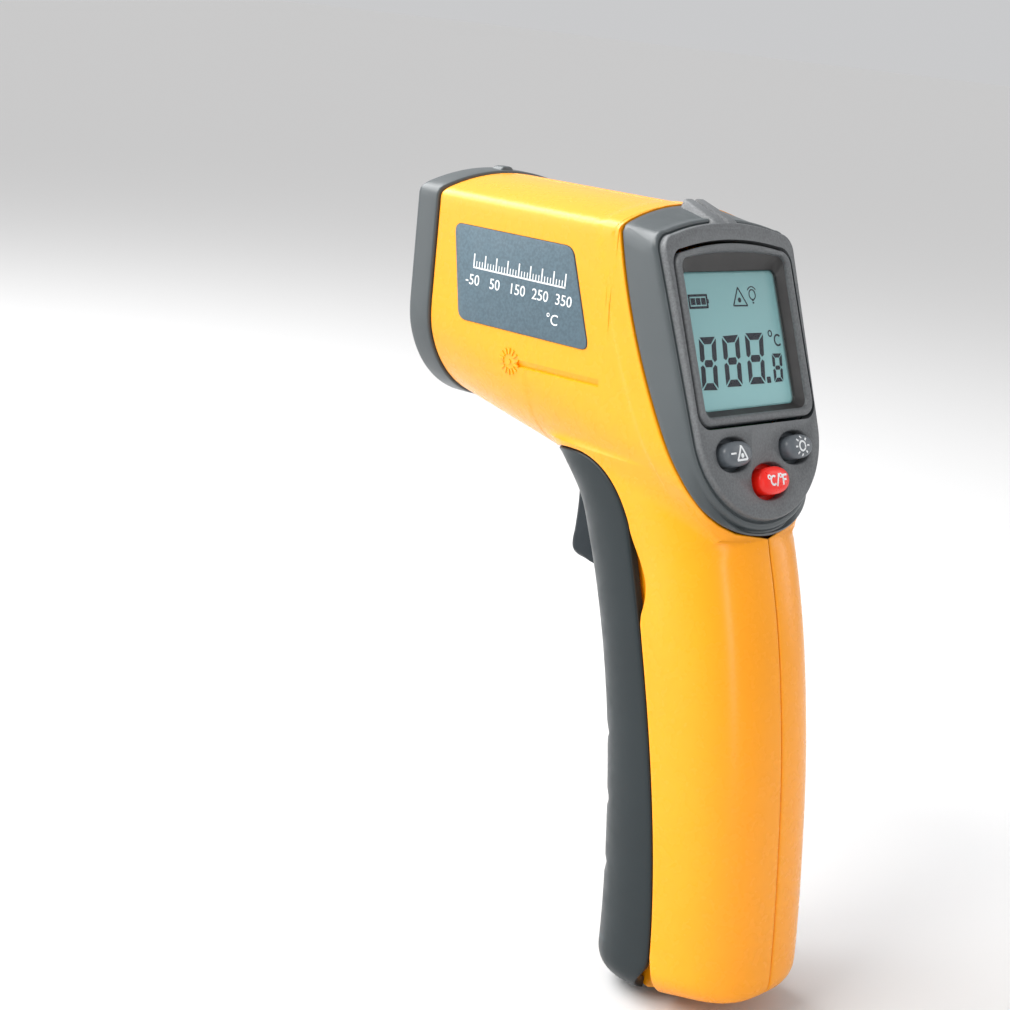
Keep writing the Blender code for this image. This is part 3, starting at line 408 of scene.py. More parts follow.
def rounded_rectangle(width, height, radius, centre=(0.0, 0.0), steps=4):
    points = []
    for quarter, (x, y) in enumerate(((1, 1), (-1, 1), (-1, -1), (1, -1))):
        middle = (centre[0] + x * (width / 2 - radius), centre[1] + y * (height / 2 - radius))
        points += arc(middle, radius, 90 * quarter, 90 * (quarter + 1), steps + 1)
    return points


def oval(half_width_, half_height, centre=(0.0, 0.0), steps=64, power=2.3):
    points = []
    for k in range(steps):
        c, s = math.cos(2 * math.pi * k / steps), math.sin(2 * math.pi * k / steps)
        x = centre[0] + half_width_ * math.copysign(abs(c)**(2 / power), c)
        points.append((x, centre[1] + half_height * math.copysign(abs(s)**(2 / power), s)))
    return points


def place_on_panel(x, down, out):
    c, s = math.cos(PANEL_TILT), math.sin(PANEL_TILT)
    return (x, PANEL_ORIGIN[1] - s * down - c * out, PANEL_ORIGIN[2] - c * down + s * out)


def on_panel(outline, out):
    return [place_on_panel(x, down, out) for x, down in outline]


# ---------------------------------------------------------------- shells and door
def case_normals(grid):
    x, y, z = grid[..., 0], grid[..., 1], grid[..., 2]
    step = 0.05
    slope_y = (half_width(y + step, z) - half_width(y - step, z)) / (2 * step)
    slope_z = (half_width(y, z + step) - half_width(y, z - step)) / (2 * step)
    side = np.where(np.abs(x) <= GAP / 2 + 1e-6, 0.0, np.sign(x))
    normal = np.stack((side, -slope_y, -slope_z), -1)
    return normal / np.linalg.norm(normal, axis=-1, keepdims=True)


def surface_row(inner, outer, side, count, smallest):
    """Points of the case surface along one side-view line, closer where the surface bends."""
    inner, outer = np.array(inner, float), np.array(outer, float)
    fine = (1 - np.cos(np.linspace(0, math.pi, 900))) / 2
    line = inner + (outer - inner) * fine[:, None]
    x = np.maximum(half_width(line[:, 0], line[:, 1]), smallest)
    for end in (0, -1):
        if x[end] < NEAR_PARTING:
            x[end] = smallest
    points = np.column_stack((side * x, line))
    steps = np.diff(points, axis=0)
    lengths = np.linalg.norm(steps, axis=1) + 1e-9
    heading = steps / lengths[:, None]
    bend = np.arccos(np.clip((heading[1:] * heading[:-1]).sum(1), -1, 1))
    bend = np.concatenate(([0], bend))
    effort = lengths / lengths.sum() + 0.7 * bend / (bend.sum() + 0.3)
    cost = np.concatenate(([0], np.cumsum(effort)))
    travel = np.concatenate(([0], np.cumsum(lengths)))
    total = travel[-1]
    rims = np.array((0.0, 0.05, 0.15, 0.3, 0.5)) * min(1, total / 4)
    first, last = np.interp((rims[-1], total - rims[-1]), travel, cost)
    inside = np.interp(np.linspace(first, last, count + 2)[1:-1], cost, travel)
    where = np.concatenate((rims, inside, total - rims[::-1]))
    row = np.column_stack([np.interp(where, travel, points[:, k]) for k in range(3)])
    return row, np.minimum(where, total - where)


def rounding(distance, radius=RIM_RADIUS):
    """How far a moulded rim falls away at a distance from its edge."""
    return radius - np.sqrt(np.clip(radius**2 - np.clip(radius - distance, 0, None)**2, 0, None))


def relaxed(grid, turns=40):
    """The grid with the folds that a tight bend makes in it evened out; its corners stay."""
    grid = grid.copy()
    for _ in range(turns):
        for line in (grid[0], grid[-1], grid[:, 0], grid[:, -1]):
            line[1:-1] = 0.4 * line[1:-1] + 0.3 * (line[2:] + line[:-2])
        across = (grid[1:-1, 2:] + grid[1:-1, :-2]) / 2
        along = (grid[2:, 1:-1] + grid[:-2, 1:-1]) / 2
        grid[1:-1, 1:-1] = 0.2 * grid[1:-1, 1:-1] + 0.6 * across + 0.2 * along
    return grid


def skin(grid, fall, thickness):
    """A closed solid under a grid of surface points that first fall away by the given depths."""
    normal = case_normals(grid)
    outer = grid - normal * fall[..., None]
    inner = relaxed(grid - normal * np.maximum(thickness, fall + 0.4)[..., None])
    rows, columns = grid.shape[:2]
    verts = list(outer.reshape(-1, 3)) + list(inner.reshape(-1, 3))
    total = rows * columns
    faces = []
    for i in range(rows - 1):
        for j in range(columns - 1):
            a = i * columns + j
            faces.append((a, a + 1, a + 1 + columns, a + columns))
            faces.append((total + a, total + a + columns, total + a + 1 + columns, total + a + 1))
    rim = list(range(columns))
    rim += [i * columns + columns - 1 for i in range(1, rows)]
    rim += [(rows - 1) * columns + j for j in range(columns - 2, -1, -1)]
    rim += [i * columns for i in range(rows - 2, 0, -1)]
    for k, a in enumerate(rim):
        b = rim[(k + 1) % len(rim)]
        faces.append((a, b, total + b, total + a))
    return verts, faces


def notch(z):
    """Depth of the thumb notch in the shell's edge at a height."""
    share = np.clip((NOTCH_TOP - z) / (NOTCH_TOP - NOTCH_BOTTOM), 0, 1)
    return NOTCH_DEPTH * np.sin(math.pi * share**1.25)**1.2


def keel(y):
    return np.array((y, KEEL_FRONT_Z + KEEL_SLOPE * (y - FRONT_SEAM_Y)))


def shell_sections():
    """Pairs of side-view points, door side and outer side, from the front seam to the butt."""
    start_y = DOOR_EDGE[0][0][0]
    pairs = []
    for y in (42.5, 42.45, 42.35, 42.2, 42.0, *np.linspace(41.4, start_y, 26)):
        inner = keel(y) if y > start_y + 1e-6 else bezier(*DOOR_EDGE[0], 0.0)
        pairs.append((inner, (y, HEAD_TOP)))
    for t in np.linspace(0, 1, 17)[1:]:
        here = bezier(*DOOR_EDGE[0], t)
        pairs.append((here, (here[0], HEAD_TOP)))
    crown_end = rear_seam(0.0)[0]
    for share in np.linspace(0, 1, 8)[1:-1]:
        here = bezier(*DOOR_EDGE[1], 0.24 * share)
        pairs.append((here, (2.0 + (crown_end - 2.0) * share, HEAD_TOP)))
    for share in np.linspace(0, 1, 34):
        t = 0.68 * share**1.25
        pairs.append((bezier(*DOOR_EDGE[1], 0.24 + 0.76 * share), rear_seam(t)))
    for share in np.linspace(0, 1, 14)[1:]:
        pairs.append((bezier(*DOOR_EDGE[2], 0.16 * share), rear_seam(0.68 + 0.32 * share)))
    for share in np.linspace(0, 1, 40)[1:]:
        z = BACK_TOP + (BACK_BOTTOM - BACK_TOP) * share
        pairs.append((bezier(*DOOR_EDGE[2], 0.16 + 0.84 * share), outline_point((-30.0, z), 180)))
    for share in np.linspace(0, 1, 26)[1:]:
        target = outline_point((-32.2, BACK_BOTTOM), 180 + 90 * share**0.8)
        pairs.append((bezier(*SHELL_HEEL, share), target))
    result = []
    for inner, outer in pairs:
        inner = np.array(inner, float)
        if inner[0] < 0:
            inner = inner - (notch(inner[1]), 0.0)
        result.append((inner, outer))
    return result


def shell_relief(grid):
    """Depth below the plain case surface: a collar at the rear bezel, a scoop at the notch."""
    seam = rear_seam(np.linspace(0, 1, 160))
    y, z = grid[..., 1], grid[..., 2]
    distance = np.sqrt((y[..., None] - seam[:, 0])**2 + (z[..., None] - seam[:, 1])**2).min(-1)
    collar = -0.26 * (1 - smooth_step(4.6, 5.3, distance)) * smooth_step(104, 109, z)
    edge = np.interp(z, (80, 88, 97.7), (-19.4, -16.6, -13.6))
    scoop = 0.55 * np.exp(-(((y - edge + 1.5) / 4.2)**2 + ((z - 88.0) / 7.0)**2))
    return collar + scoop


def shell_shape(side):
    rows, edges = [], []
    for inner, outer in shell_sections():
        row, distance = surface_row(inner, outer, side, 58, GAP / 2)
        rows.append(row)
        edges.append(distance)
    grid, edge = np.array(rows), np.array(edges)
    front = np.where(grid[..., 1] > 30, FRONT_SEAM_Y - grid[..., 1], 9.0)
    fall = np.maximum(rounding(edge), rounding(front)) + shell_relief(grid)
    return skin(grid[:, ::-side], fall[:, ::-side], WALL)


def wall_reach(y, z, radius):
    angles = np.linspace(0, 2 * math.pi, 16)
    return float(half_width(y + radius * np.cos(angles), z + radius * np.sin(angles)).min()) - 0.7


def shell_bosses(side):
    """The screw posts and the ear that the door's pin sits in."""
    shapes = []
    radius = POST_RADIUS if side < 0 else SOCKET_RADIUS
    for y, z in SCREWS:
        shapes.append(rod(radius, side * 0.25, side * wall_reach(y, z, radius), (y, z), 40))
    y, z = DOOR_PIVOT
    ear = arc(DOOR_PIVOT, 3.2, -90, 90, 17)
    ear += [(y - 7.5, z + 2.4), (y - 7.5, z - 0.4), (y - 4.6, z - 1.5)]
    shapes.append(side_slab(ear, 8.2, 10.6, side))
    return shapes


def label_outline(grow, steps=8):
    """The label's four-sided outline with rounded corners, grown outward by a margin."""
    points = [Vector(p) for p in LABEL_OUTLINE]
    centre = sum(points, Vector((0, 0))) / 4
    grown = [p + (p - centre).normalized() * grow * 1.4 for p in points]
    result = []
    radius = 2.0 + grow
    for i, p in enumerate(grown):
        into = (grown[i - 1] - p).normalized() * radius
        onward = (grown[(i + 1) % 4] - p).normalized() * radius
        for t in np.linspace(0, 1, steps + 1):
            result.append(p + into * (1 - t)**2 + onward * t**2)
    return [tuple(p) for p in result]


def shell_cuts(side):
    """The label's recess, the pin's hole and, on the right, the screw holes."""
    floor = HEAD_HALF_WIDTH - LABEL_DEPTH
    recess = side_slab(label_outline(0.14), floor, HEAD_HALF_WIDTH + 2, side)
    shapes = [recess, rod(DOOR_BORE, *sorted((side * 7.5, side * 10.4)), DOOR_PIVOT)]
    if side > 0:
        for y, z in SCREWS:
            seat = wall_reach(y, z, SOCKET_RADIUS) - SCREW_SEAT
            profile = [(1.5, 0.0), (1.5, seat), (2.7, seat), (2.7, 24.0)]
            shapes.append(turned(profile, (0, y, z), "x", 40))
    return shapes


def make_shells(look):
    for name, side in (("left_shell", -1), ("right_shell", 1)):
        shell = link(name + "_skin", *shell_shape(side), look["orange"])
        for shape in shell_bosses(side):
            carve(shell, shape, "UNION")
        for shape in shell_cuts(side):
            carve(shell, shape)
        if side < 0:
            carve(shell, mark_channel(side))
        finish_piece(shell, "case", "shell_orange", name)
        make_notch_lip(side, look["orange"])


def make_notch_lip(side, material):
    """The tongue of the shell that shows inside the thumb notch, under the door's edge."""
    rows = []
    for t in np.linspace(0.0, 0.25, 30):
        edge = bezier(*DOOR_EDGE[2], t)
        line = edge + np.linspace(-5.5, 1.6, 14)[:, None] * (1.0, 0.0)
        x = half_width(line[:, 0], line[:, 1]) - LIP_DEPTH
        rows.append(np.column_stack((side * x, line)))
    grid = np.array(rows)[:, ::-side]
    name = "notch_lip_left" if side < 0 else "notch_lip_right"
    lip = link(name, *skin(grid, np.zeros(grid.shape[:2]), 0.8), material)
    finish_piece(lip, "case", "shell_orange")


def door_sections():
    """Pairs of side-view points, door edge and front outline, from the keel down to the butt."""
    pairs = []
    for t in np.linspace(0.14, 1, 22):
        here = bezier(*DOOR_EDGE[0], t) + (-0.1, -GAP)
        pairs.append((here, outline_point(here, -62 + 30 * t)))
    for t in np.linspace(0, 1, 20)[1:]:
        here = bezier(*DOOR_EDGE[1], t) + (GAP * t, -GAP * (1 - 0.6 * t))
        pairs.append((here, outline_point(here, -32 + 23 * t)))
    for t in np.linspace(0, 1, 72)[1:]:
        here = bezier(*DOOR_EDGE[2], t) + (GAP, 0)
        pairs.append((here, outline_point(here, -9)))
    for t in np.linspace(0, 1, 28)[1:]:
        pairs.append((bezier(*DOOR_HEEL, t), outline_point((-22.5, 14 - 5 * t), -9 - 98 * t)))
    return pairs


def door_relief(grid):
    """Shallow finger grooves across the front of the grip."""
    front = through(GRIP_FRONT, grid[..., 2])
    near = smooth_step(6.5, 2.0, front - grid[..., 1])
    depth = np.zeros(grid.shape[:2])
    for level in GRIP_GROOVES:
        depth += 0.5 * np.exp(-((grid[..., 2] - level) / 1.1)**2)
    return depth * near


def make_door(look):
    rows, edges = [], []
    for edge, front in door_sections():
        left, distance = surface_row(edge, front, -1, 30, 0.0)
        left[-1, 0] = 0.0
        right = left[::-1] * (-1, 1, 1)
        distance = np.where(np.arange(len(distance)) > len(distance) // 2, 9.0, distance)
        rows.append(np.vstack((left, right[1:]))[::-1])
        edges.append(np.concatenate((distance, distance[::-1][1:]))[::-1])
    grid, edge = np.array(rows), np.array(edges)
    fall = rounding(edge, 0.55) + door_relief(grid)
    door = link("battery_door_skin", *skin(grid, fall, WALL), look["slate"])
    y, z = DOOR_PIVOT
    web = ((y + 0.5, z - 1.2), (y + 3.5, z + 1.0), (y + 3.5, 3.0), (y + 1.2, 3.0))
    ends = (-BARREL_HALF_LENGTH, BARREL_HALF_LENGTH)
    carve(door, rod(BARREL_RADIUS, *ends, DOOR_PIVOT, 40), "UNION")
    carve(door, slab(web, *ends, "side"), "UNION")
    carve(door, slab(SLOT_PROFILE, -SLOT_HALF_WIDTH, SLOT_HALF_WIDTH, "side"))
    carve(door, rod(DOOR_BORE, -9, 9, DOOR_PIVOT))
    carve(door, joined(*[box((x, -34, 0), (x + 3, -22.6, 12)) for x in (-10.95, 7.95)]))
    finish_piece(door, "battery_door", "grip_slate", "battery_door")


def make_trigger(look):
    """A lever with a bar-shaped section: its edges are rounded, most of all in front."""
    points = np.array(TRIGGER_PROFILE)
    outline = []
    for i in range(len(points)):
        before, here, after, later = (points[(i + k) % len(points)] for k in (-1, 0, 1, 2))
        for t in np.linspace(0, 1, 7)[:-1]:
            square = 2 * before - 5 * here + 4 * after - later
            cube = 3 * here - before - 3 * after + later
            curve = 0.5 * (2 * here + (after - before) * t + square * t**2 + cube * t**3)
            straight = here + (after - here) * t
            outline.append(curve if here[0] > 6 and after[0] > 6 else straight)
    outline = np.array(outline)
    tangent = np.roll(outline, -1, 0) - np.roll(outline, 1, 0)
    tangent /= np.linalg.norm(tangent, axis=1, keepdims=True)
    inward = np.column_stack((tangent[:, 1], -tangent[:, 0]))
    inward *= np.sign(((outline.mean(0) - outline) * inward).sum(1).mean())
    amount = (0.35 + 1.25 * smooth_step(5, 9, outline[:, 0]))[:, None]
    rings = []
    quarter = np.linspace(0, math.pi / 2, 8)
    for side, turns in ((1, quarter[::-1]), (-1, quarter)):
        for a in turns:
            half = side * (TRIGGER_HALF_WIDTH - TRIGGER_EDGE * (1 - math.sin(a)))
            ring = outline + inward * amount * (1 - math.cos(a))
            rings.append([(half, y, z) for y, z in ring])
    trigger = link("trigger_skin", *loft(rings), look["trigger"], 50)
    carve(trigger, rod(TRIGGER_BORE, -6, 6, TRIGGER_PIVOT), smooth=50)
    finish_piece(trigger, "trigger", "grip_slate", "trigger")


# ---------------------------------------------------------------- bezels
def head_section(y, grow, steps=44):
    """Closed ring round the head at one y, grown outward by a margin."""
    middle_z = (HEAD_TOP + KEEL_FRONT_Z) / 2
    z = KEEL_FRONT_Z + (HEAD_TOP - KEEL_FRONT_Z) * (1 - np.cos(np.linspace(0, math.pi, 700))) / 2
    x = np.maximum(head_half_width(FRONT_SEAM_Y, z), 0)
    x[0] = x[-1] = 0.0
    travel = np.concatenate(([0], np.cumsum(np.hypot(np.diff(x), np.diff(z)))))
    where = np.linspace(0, travel[-1], 2 * steps)
    x, z = np.interp(where, travel, x), np.interp(where, travel, z)
    x = x * (1 + grow / HEAD_HALF_WIDTH)
    z = middle_z + (z - middle_z) * (1 + 2 * grow / (HEAD_TOP - KEEL_FRONT_Z))
    ring = [(-a, y, b) for a, b in zip(x[::-1], z[::-1])]
    return ring + [(a, y, b) for a, b in zip(x[1:-1], z[1:-1])]


def make_front_bezel(look):
    y = FRONT_SEAM_Y + GAP
    face = FRONT_FACE_Y
    stations = [(y, -1.6), (y, 0.0)]
    stations += arc((y + 0.45, 0.0), 0.45, 180, 90, 5)[1:]
    stations += [(y + 2.2, 0.5), (face - 2.0, 0.52)]
    stations += arc((face - 1.1, -0.6), 1.1, 90, 0, 8)
    stations += arc((face - 0.4, -2.3), 0.4, 0, -80, 4)
    stations += [(face - 1.2, -2.9), (46.0, -3.1), (45.4, -3.5)]
    rings = [head_section(*station) for station in stations]
    bezel = link("front_bezel_skin", *loft(rings), look["bezel_satin"], 45)
    sight = loft([four_corners((3.6, 43.2, 156.4), (3.6, 48.2, 156.4)),
                  four_corners((1.2, 43.7, 158.9), (1.2, 46.4, 158.9))])
    holes = []
    for radius, flare, z, steps in ((LENS_HOLE, 0.6, LENS_Z, 96), (LASER_HOLE, 0.5, LASER_Z, 48)):
        profile = [(radius + flare, 50), (radius, 44.8), (radius, 40)]
        holes.append(turned(profile, (0, 0, z), "y", steps))
    carve(bezel, joined(*holes), smooth=45)
    finish_piece(bezel, "case", "bezel_grey", "front_bezel")
    bump = link("front_sight_bump", *sight, look["bezel_satin"])
    bevel(bump, 0.5)
    finish_piece(bump, "case", "bezel_grey")


def arched_top(half_width_, top, arch, corner, steps, corner_steps):
    """Right half (across, down) of an arched edge with its corner, and where the side starts."""
    flat = half_width_ - corner
    points = []
    for k in range(steps):
        x = flat * k / steps
        points.append((x, top + arch * (x / half_width_)**2))
    edge = top + arch * (flat / half_width_)**2
    start = edge + corner
    return points + arc((flat, start), corner, -90, 0, corner_steps + 1), start


def with_mirror(half):
    return half + [(-x, down) for x, down in reversed(half[1:-1])]


def panel_outline(half_top, half_low, top, arch, corner, low, tip, steps=18):
    """Closed shield-shaped outline (across, down): arched top, long sides, rounded bottom."""
    half, start = arched_top(half_top, top, arch, corner, steps, 10)
    half += [(half_top + (half_low - half_top) * k / steps, start + (low - start) * k / steps)
             for k in range(1, steps)]
    return with_mirror(half + arc((0, low), (half_low, tip - low), 0, 90, 2 * steps + 1))


def shield(inset):
    """Outline of the bezel's face, set in from its outer crease."""
    return panel_outline(20.7 - inset, 19.6 - inset, -10.4 + 1.5 * inset, 3.4 - 0.3 * inset,
                         3.6 - 0.3 * inset, CHIN_LEVEL, 50.1 - 2.3 * inset)


SEAM_TABLE = np.linspace(-0.05, 1.08, 400)


def seam_point_at(down, gap):
    """Point of the rear seam at a distance down the panel."""
    points = rear_seam(SEAM_TABLE, gap)
    table = panel_coordinates(points[:, 0], points[:, 1])[0]
    return rear_seam(np.interp(down, table, SEAM_TABLE), gap)


def on_seam(outline, gap):
    return [(x, *seam_point_at(down, gap)) for x, down in outline]


def seam_outline(gap, grow):
    """Panel outline whose points, laid on the seam, follow the outer surface of the case."""
    top = float(panel_coordinates(*rear_seam(0.0, gap))[0])
    tip = float(panel_coordinates(*rear_seam(0.985, gap))[0])
    downs = np.linspace(top - 1, tip + 2, 900)
    points = np.array([seam_point_at(down, gap) for down in downs])
    widths = half_width(points[:, 0], points[:, 1])
    outline = panel_outline(HEAD_HALF_WIDTH, 19.0, top, 3.0, 3.0, 33.0, tip)
    result = []
    for x, down in outline:
        target = min(abs(x), 19.2)
        if down < top + 5:
            near = downs < 20
            down = float(np.interp(target, widths[near], downs[near]))
        elif down > 36:
            near = downs > 30
            down = float(np.interp(-target, -widths[near], downs[near]))
        width = float(np.interp(down, downs, widths)) if abs(x) > 16 else abs(x)
        result.append((math.copysign(width + (grow if abs(x) > 1 else 0), x), down))
    return result


def blend_rings(first, last, count):
    """Rings between two rings, without the two themselves."""
    a, b = np.array(first), np.array(last)
    return [list(map(tuple, a + (b - a) * k / (count + 1))) for k in range(1, count + 1)]


def key_ring(name, grow, out):
    """Outline of a key's hole, grown by a margin, at a height above the panel."""
    x, down, half_w, half_h = BUTTONS[name]
    return on_panel(oval(max(half_w + grow, 0.02), max(half_h + grow, 0.02), (x, down)), out)


def make_rear_bezel(look):
    seam_inside = panel_outline(18.2, 17.4, -6.6, 2.4, 3.0, 32, 48.2)
    inside = panel_outline(18.2, 16.9, -7.6, 3.0, 3.0, CHIN_LEVEL, 46.3)
    rings = [on_panel(inside, FACE_INSIDE), on_seam(seam_inside, GAP + 0.25)]
    for gap, grow in ((0.3, -0.35), (0.34, -0.12), (0.48, 0.05), (0.75, 0.14)):
        rings.append(on_seam(seam_outline(gap, grow), gap))
    crease = [(-0.05, -1.2), (0.0, -0.7), (0.08, -0.35), (0.2, -0.1), (0.36, 0.05), (0.5, 0.06),
              (0.6, -0.03), (0.66, -0.15), (0.72, -0.18), (0.77, -0.08), (0.8, 0.2), (0.82, 0.8),
              (0.85, 1.1), (0.92, 1.35), (1.02, 1.52), (1.2, FACE_LEVEL)]
    first = on_panel(shield(crease[0][0]), crease[0][1])
    rings += blend_rings(rings[-1], first, 6)
    rings += [on_panel(shield(inset), out) for inset, out in crease]
    bezel = link("rear_bezel_skin", *loft(rings), look["bezel"], 45)
    carve(bezel, plate(window_outline(18.4, -5.75, 2.3, 29.85, 3.3), 3.0, -2.0), smooth=45)
    band_material(bezel, look["bezel_satin"])
    levels = ((0.45, 2.2), (0.35, 1.62), (0.12, 1.45), (0.0, 1.2), (0.0, -2.0))
    for name in BUTTONS:
        carve(bezel, loft([key_ring(name, grow, out) for grow, out in levels]), smooth=45)
    finish_piece(bezel, "case", "bezel_grey", "rear_bezel")


def band_material(bezel, material):
    """Gives the band outside the crease of the rear bezel a second material."""
    bezel.data.materials.append(material)
    for face in bezel.data.polygons:
        _, y, z = face.center * 1000 + Vector((0.0, BASE_Y, BASE_Z))
        if panel_coordinates(y, z)[1] < BAND_LEVEL:
            face.material_index = 1


def window_outline(half, top, arch, bottom, corner, steps=12):
    """Closed outline round the display: arched top, straight sides and bottom, rounded corners."""
    points, start = arched_top(half, top, arch, corner, steps, 8)
    end = bottom - corner
    points += [(half, start + (end - start) * k / 10) for k in range(1, 10)]
    points += arc((half - corner, end), corner, 0, 90, 9)
    points += [((half - corner) * (1 - k / steps), bottom) for k in range(1, steps + 1)]
    return with_mirror(points)


def make_window_frame(look):
    """The raised lip round the display and the sloping walls that lead down to the glass."""
    lip = [(17.75, -5.1, 2.2, 29.2, 3.0, -0.55), (17.75, -5.1, 2.2, 29.2, 3.0, 1.2),
           (17.68, -5.03, 2.2, 29.13, 2.95, 1.6), (17.5, -4.85, 2.15, 28.95, 2.8, 1.92),
           (17.2, -4.55, 2.1, 28.7, 2.6, 2.1), (16.7, -4.05, 1.9, 28.25, 2.3, 2.1),
           (16.35, -3.7, 1.6, 27.9, 2.1, 1.92), (16.15, -3.5, 1.3, 27.6, 1.9, 1.6),
           (16.05, -3.36, 1.15, 27.5, 1.85, 1.2), (16.05, -3.36, 1.15, 27.5, 1.85, -0.55)]
    pane = (WINDOW_HALF, 0.0, 0.0, WINDOW_BOTTOM, 1.5)
    # The walls get a near-black material: painted shade for the deep recess round the glass.
    walls = [(16.04, -3.35, 1.14, 27.49, 1.84, 1.2), (14.75, -0.3, 0.3, 26.5, 1.6, 0.15),
             (14.6, -0.06, 0.1, 26.35, 1.5, 0.0), (*pane, -0.12), (*pane, -0.55),
             (16.04, -3.35, 1.14, 27.49, 1.84, -0.54)]
    for name, profile, part in (("window_frame", lip, "bezel"), ("window_walls", walls, "recess")):
        rings = [on_panel(window_outline(*row[:5]), row[5]) for row in profile]
        finish_piece(link(name, *hoop(rings), look[part], 50), "case", "bezel_grey")


def make_rear_sight(look):
    body = loft([four_corners((4.3, -5.5, 154.6), (4.3, -16.2, 154.6)),
                 four_corners((3.0, -6.3, 159.35), (3.2, -14.6, 156.4))])
    sight = link("rear_sight", *body, look["bezel"])
    bevel(sight, 0.55)
    groove = loft([four_corners((1.05, -5.0, 160.6), (1.05, -17.0, 156.9)),
                   four_corners((0.2625, -5.0, 157.7), (0.2625, -17.0, 154.0))])
    carve(sight, groove, smooth=50)
    finish_piece(sight, "case", "bezel_grey")


# ---------------------------------------------------------------- display and keys
DIGITS = (
    ((-12.1, 12.25), (-7.0, 12.3), (-13.4, 22.2), (-8.65, 22.4), 1.0),
    ((-5.1, 12.3), (0.2, 12.2), (-6.1, 22.0), (-1.1, 22.1), 1.0),
    ((2.1, 12.0), (7.9, 12.1), (1.1, 21.9), (6.2, 22.0), 1.0),
    ((9.7, 16.3), (12.9, 16.4), (9.2, 21.95), (12.1, 21.9), 0.62),
)
DISPLAY_LEVEL = -0.62     # top of the display's polariser
DISPLAY_SHIFT = 0.35


def digit_segments(corners, stroke):
    """Seven mitred strokes of one figure, as outlines (across, down)."""
    tl, tr, bl, br = (np.array(c) for c in corners)

    def at(u, v):
        return tuple((1 - v) * ((1 - u) * tl + u * tr) + v * ((1 - u) * bl + u * br))

    a = stroke / np.linalg.norm(tr - tl)
    b = stroke / np.linalg.norm(bl - tl)
    g = 0.16 * a
    h = 0.16 * b
    m = b / 2
    flats = [
        ((g * 1.2, 0), (1 - g * 1.2, 0), (1 - a - g, b), (a + g, b)),
        ((a + g, 1 - b), (1 - a - g, 1 - b), (1 - g * 1.2, 1), (g * 1.2, 1)),
        ((a * 0.75 + g, 0.5), (a + g, 0.5 - m), (1 - a - g, 0.5 - m), (1 - a * 0.75 - g, 0.5),
         (1 - a - g, 0.5 + m), (a + g, 0.5 + m)),
    ]
    for mirror in (0, 1):
        for top, low in ((0, 0.5), (1, 0.5)):
            s = 1 if top == 0 else -1
            stroke_points = ((0, top + s * h * 1.5), (a, top + s * (b + h)), (a, low - s * (m + h)),
                             (a * 0.5, low - s * h * 1.2), (0, low - s * (m * 0.6 + h)))
            flats.append(tuple((1 - u, v) if mirror else (u, v) for u, v in stroke_points))
    return [[at(u, v) for u, v in flat] for flat in flats]


def plate(outline, low, high):
    """A flat piece that lies parallel to the display panel."""
    return loft([on_panel(outline, low), on_panel(outline, high)])


def moved(outline, dx, dy):
    return [(x + dx, y + dy) for x, y in outline]


def ring_outlines(centre, radius, width, start=0, end=360, steps=28):
    """Short quads that make up an arc of a ring."""
    inner, outer = (arc(centre, r, start, end, steps + 1) for r in (radius, radius + width))
    return [list(quad) for quad in zip(inner, inner[1:], outer[1:], outer)]


def bar(a, b, width):
    a, b = np.array(a, float), np.array(b, float)
    side = np.array((-(b - a)[1], (b - a)[0])) / np.linalg.norm(b - a) * width / 2
    return [tuple(a + side), tuple(b + side), tuple(b - side), tuple(a - side)]


def display_symbols():
    """Battery, triangle and lamp signs, the degree sign and C, and the decimal point."""
    shapes = [bar((-13.15, 4.35), (-7.85, 4.35), 0.45), bar((-13.15, 6.65), (-7.85, 6.65), 0.45)]
    shapes += [bar((x, 4.15), (x, 6.85), 0.45) for x in (-13.15, -7.85)]
    shapes += [bar((-7.55, 5.1), (-7.55, 5.9), 0.4)]
    shapes += [bar((x, 4.85), (x, 6.15), 1.3) for x in (-12.05, -10.5, -8.95)]
    shapes += [bar((0.1, 6.6), (4.5, 6.7), 0.3), bar((0.1, 6.6), (2.15, 3.1), 0.3),
               bar((2.15, 3.1), (4.5, 6.7), 0.3)]
    shapes += [moved(oval(0.5, 0.5, steps=16, power=2.0), 2.2, 5.55)]
    shapes += ring_outlines((6.45, 4.6), 0.85, 0.25)
    shapes += [bar((6.2, 5.7), (6.7, 5.7), 0.3), bar((6.2, 6.2), (6.7, 6.2), 0.3)]
    shapes += ring_outlines((6.45, 4.6), 1.45, 0.22, 215, 325, 8)
    shapes += ring_outlines((10.15, 12.35), 0.42, 0.28)
    shapes += ring_outlines((12.35, 13.75), 0.85, 0.38, 45, 315, 20)
    shapes += [moved(rounded_rectangle(1.25, 1.25, 0.2), 7.5, 21.35)]
    return shapes


def make_display(look):
    pad = rounded_rectangle(28.5, 25.7, 1.3, (0, WINDOW_BOTTOM / 2), 8)
    glass = rounded_rectangle(30.9, 29.5, 0.8, (0, 13.4), 4)
    body = joined(plate(glass, -3.2, -0.95), plate(pad, -0.95, DISPLAY_LEVEL))
    module = link("display_module", *body, look["display"])
    finish_piece(module, "case", "display_teal", "display_glass")
    marks = []
    for *corners, size in DIGITS:
        marks += digit_segments(corners, 1.35 * size)
    marks += display_symbols()
    marks = [plate(moved(mark, DISPLAY_SHIFT, 0), DISPLAY_LEVEL + 0.01, DISPLAY_LEVEL + 0.05)
             for mark in marks]
    figures = link("display_figures", *joined(*marks), look["ink"])
    finish_piece(figures, "case", "black_plastic")
    film = rounded_rectangle(28.7, 25.9, 1.4, (0, WINDOW_BOTTOM / 2), 8)
    window = link("window_pane", *plate(film, -0.4, -0.12), look["clear"])
    finish_piece(window, "case", "window_clear", "display_window")


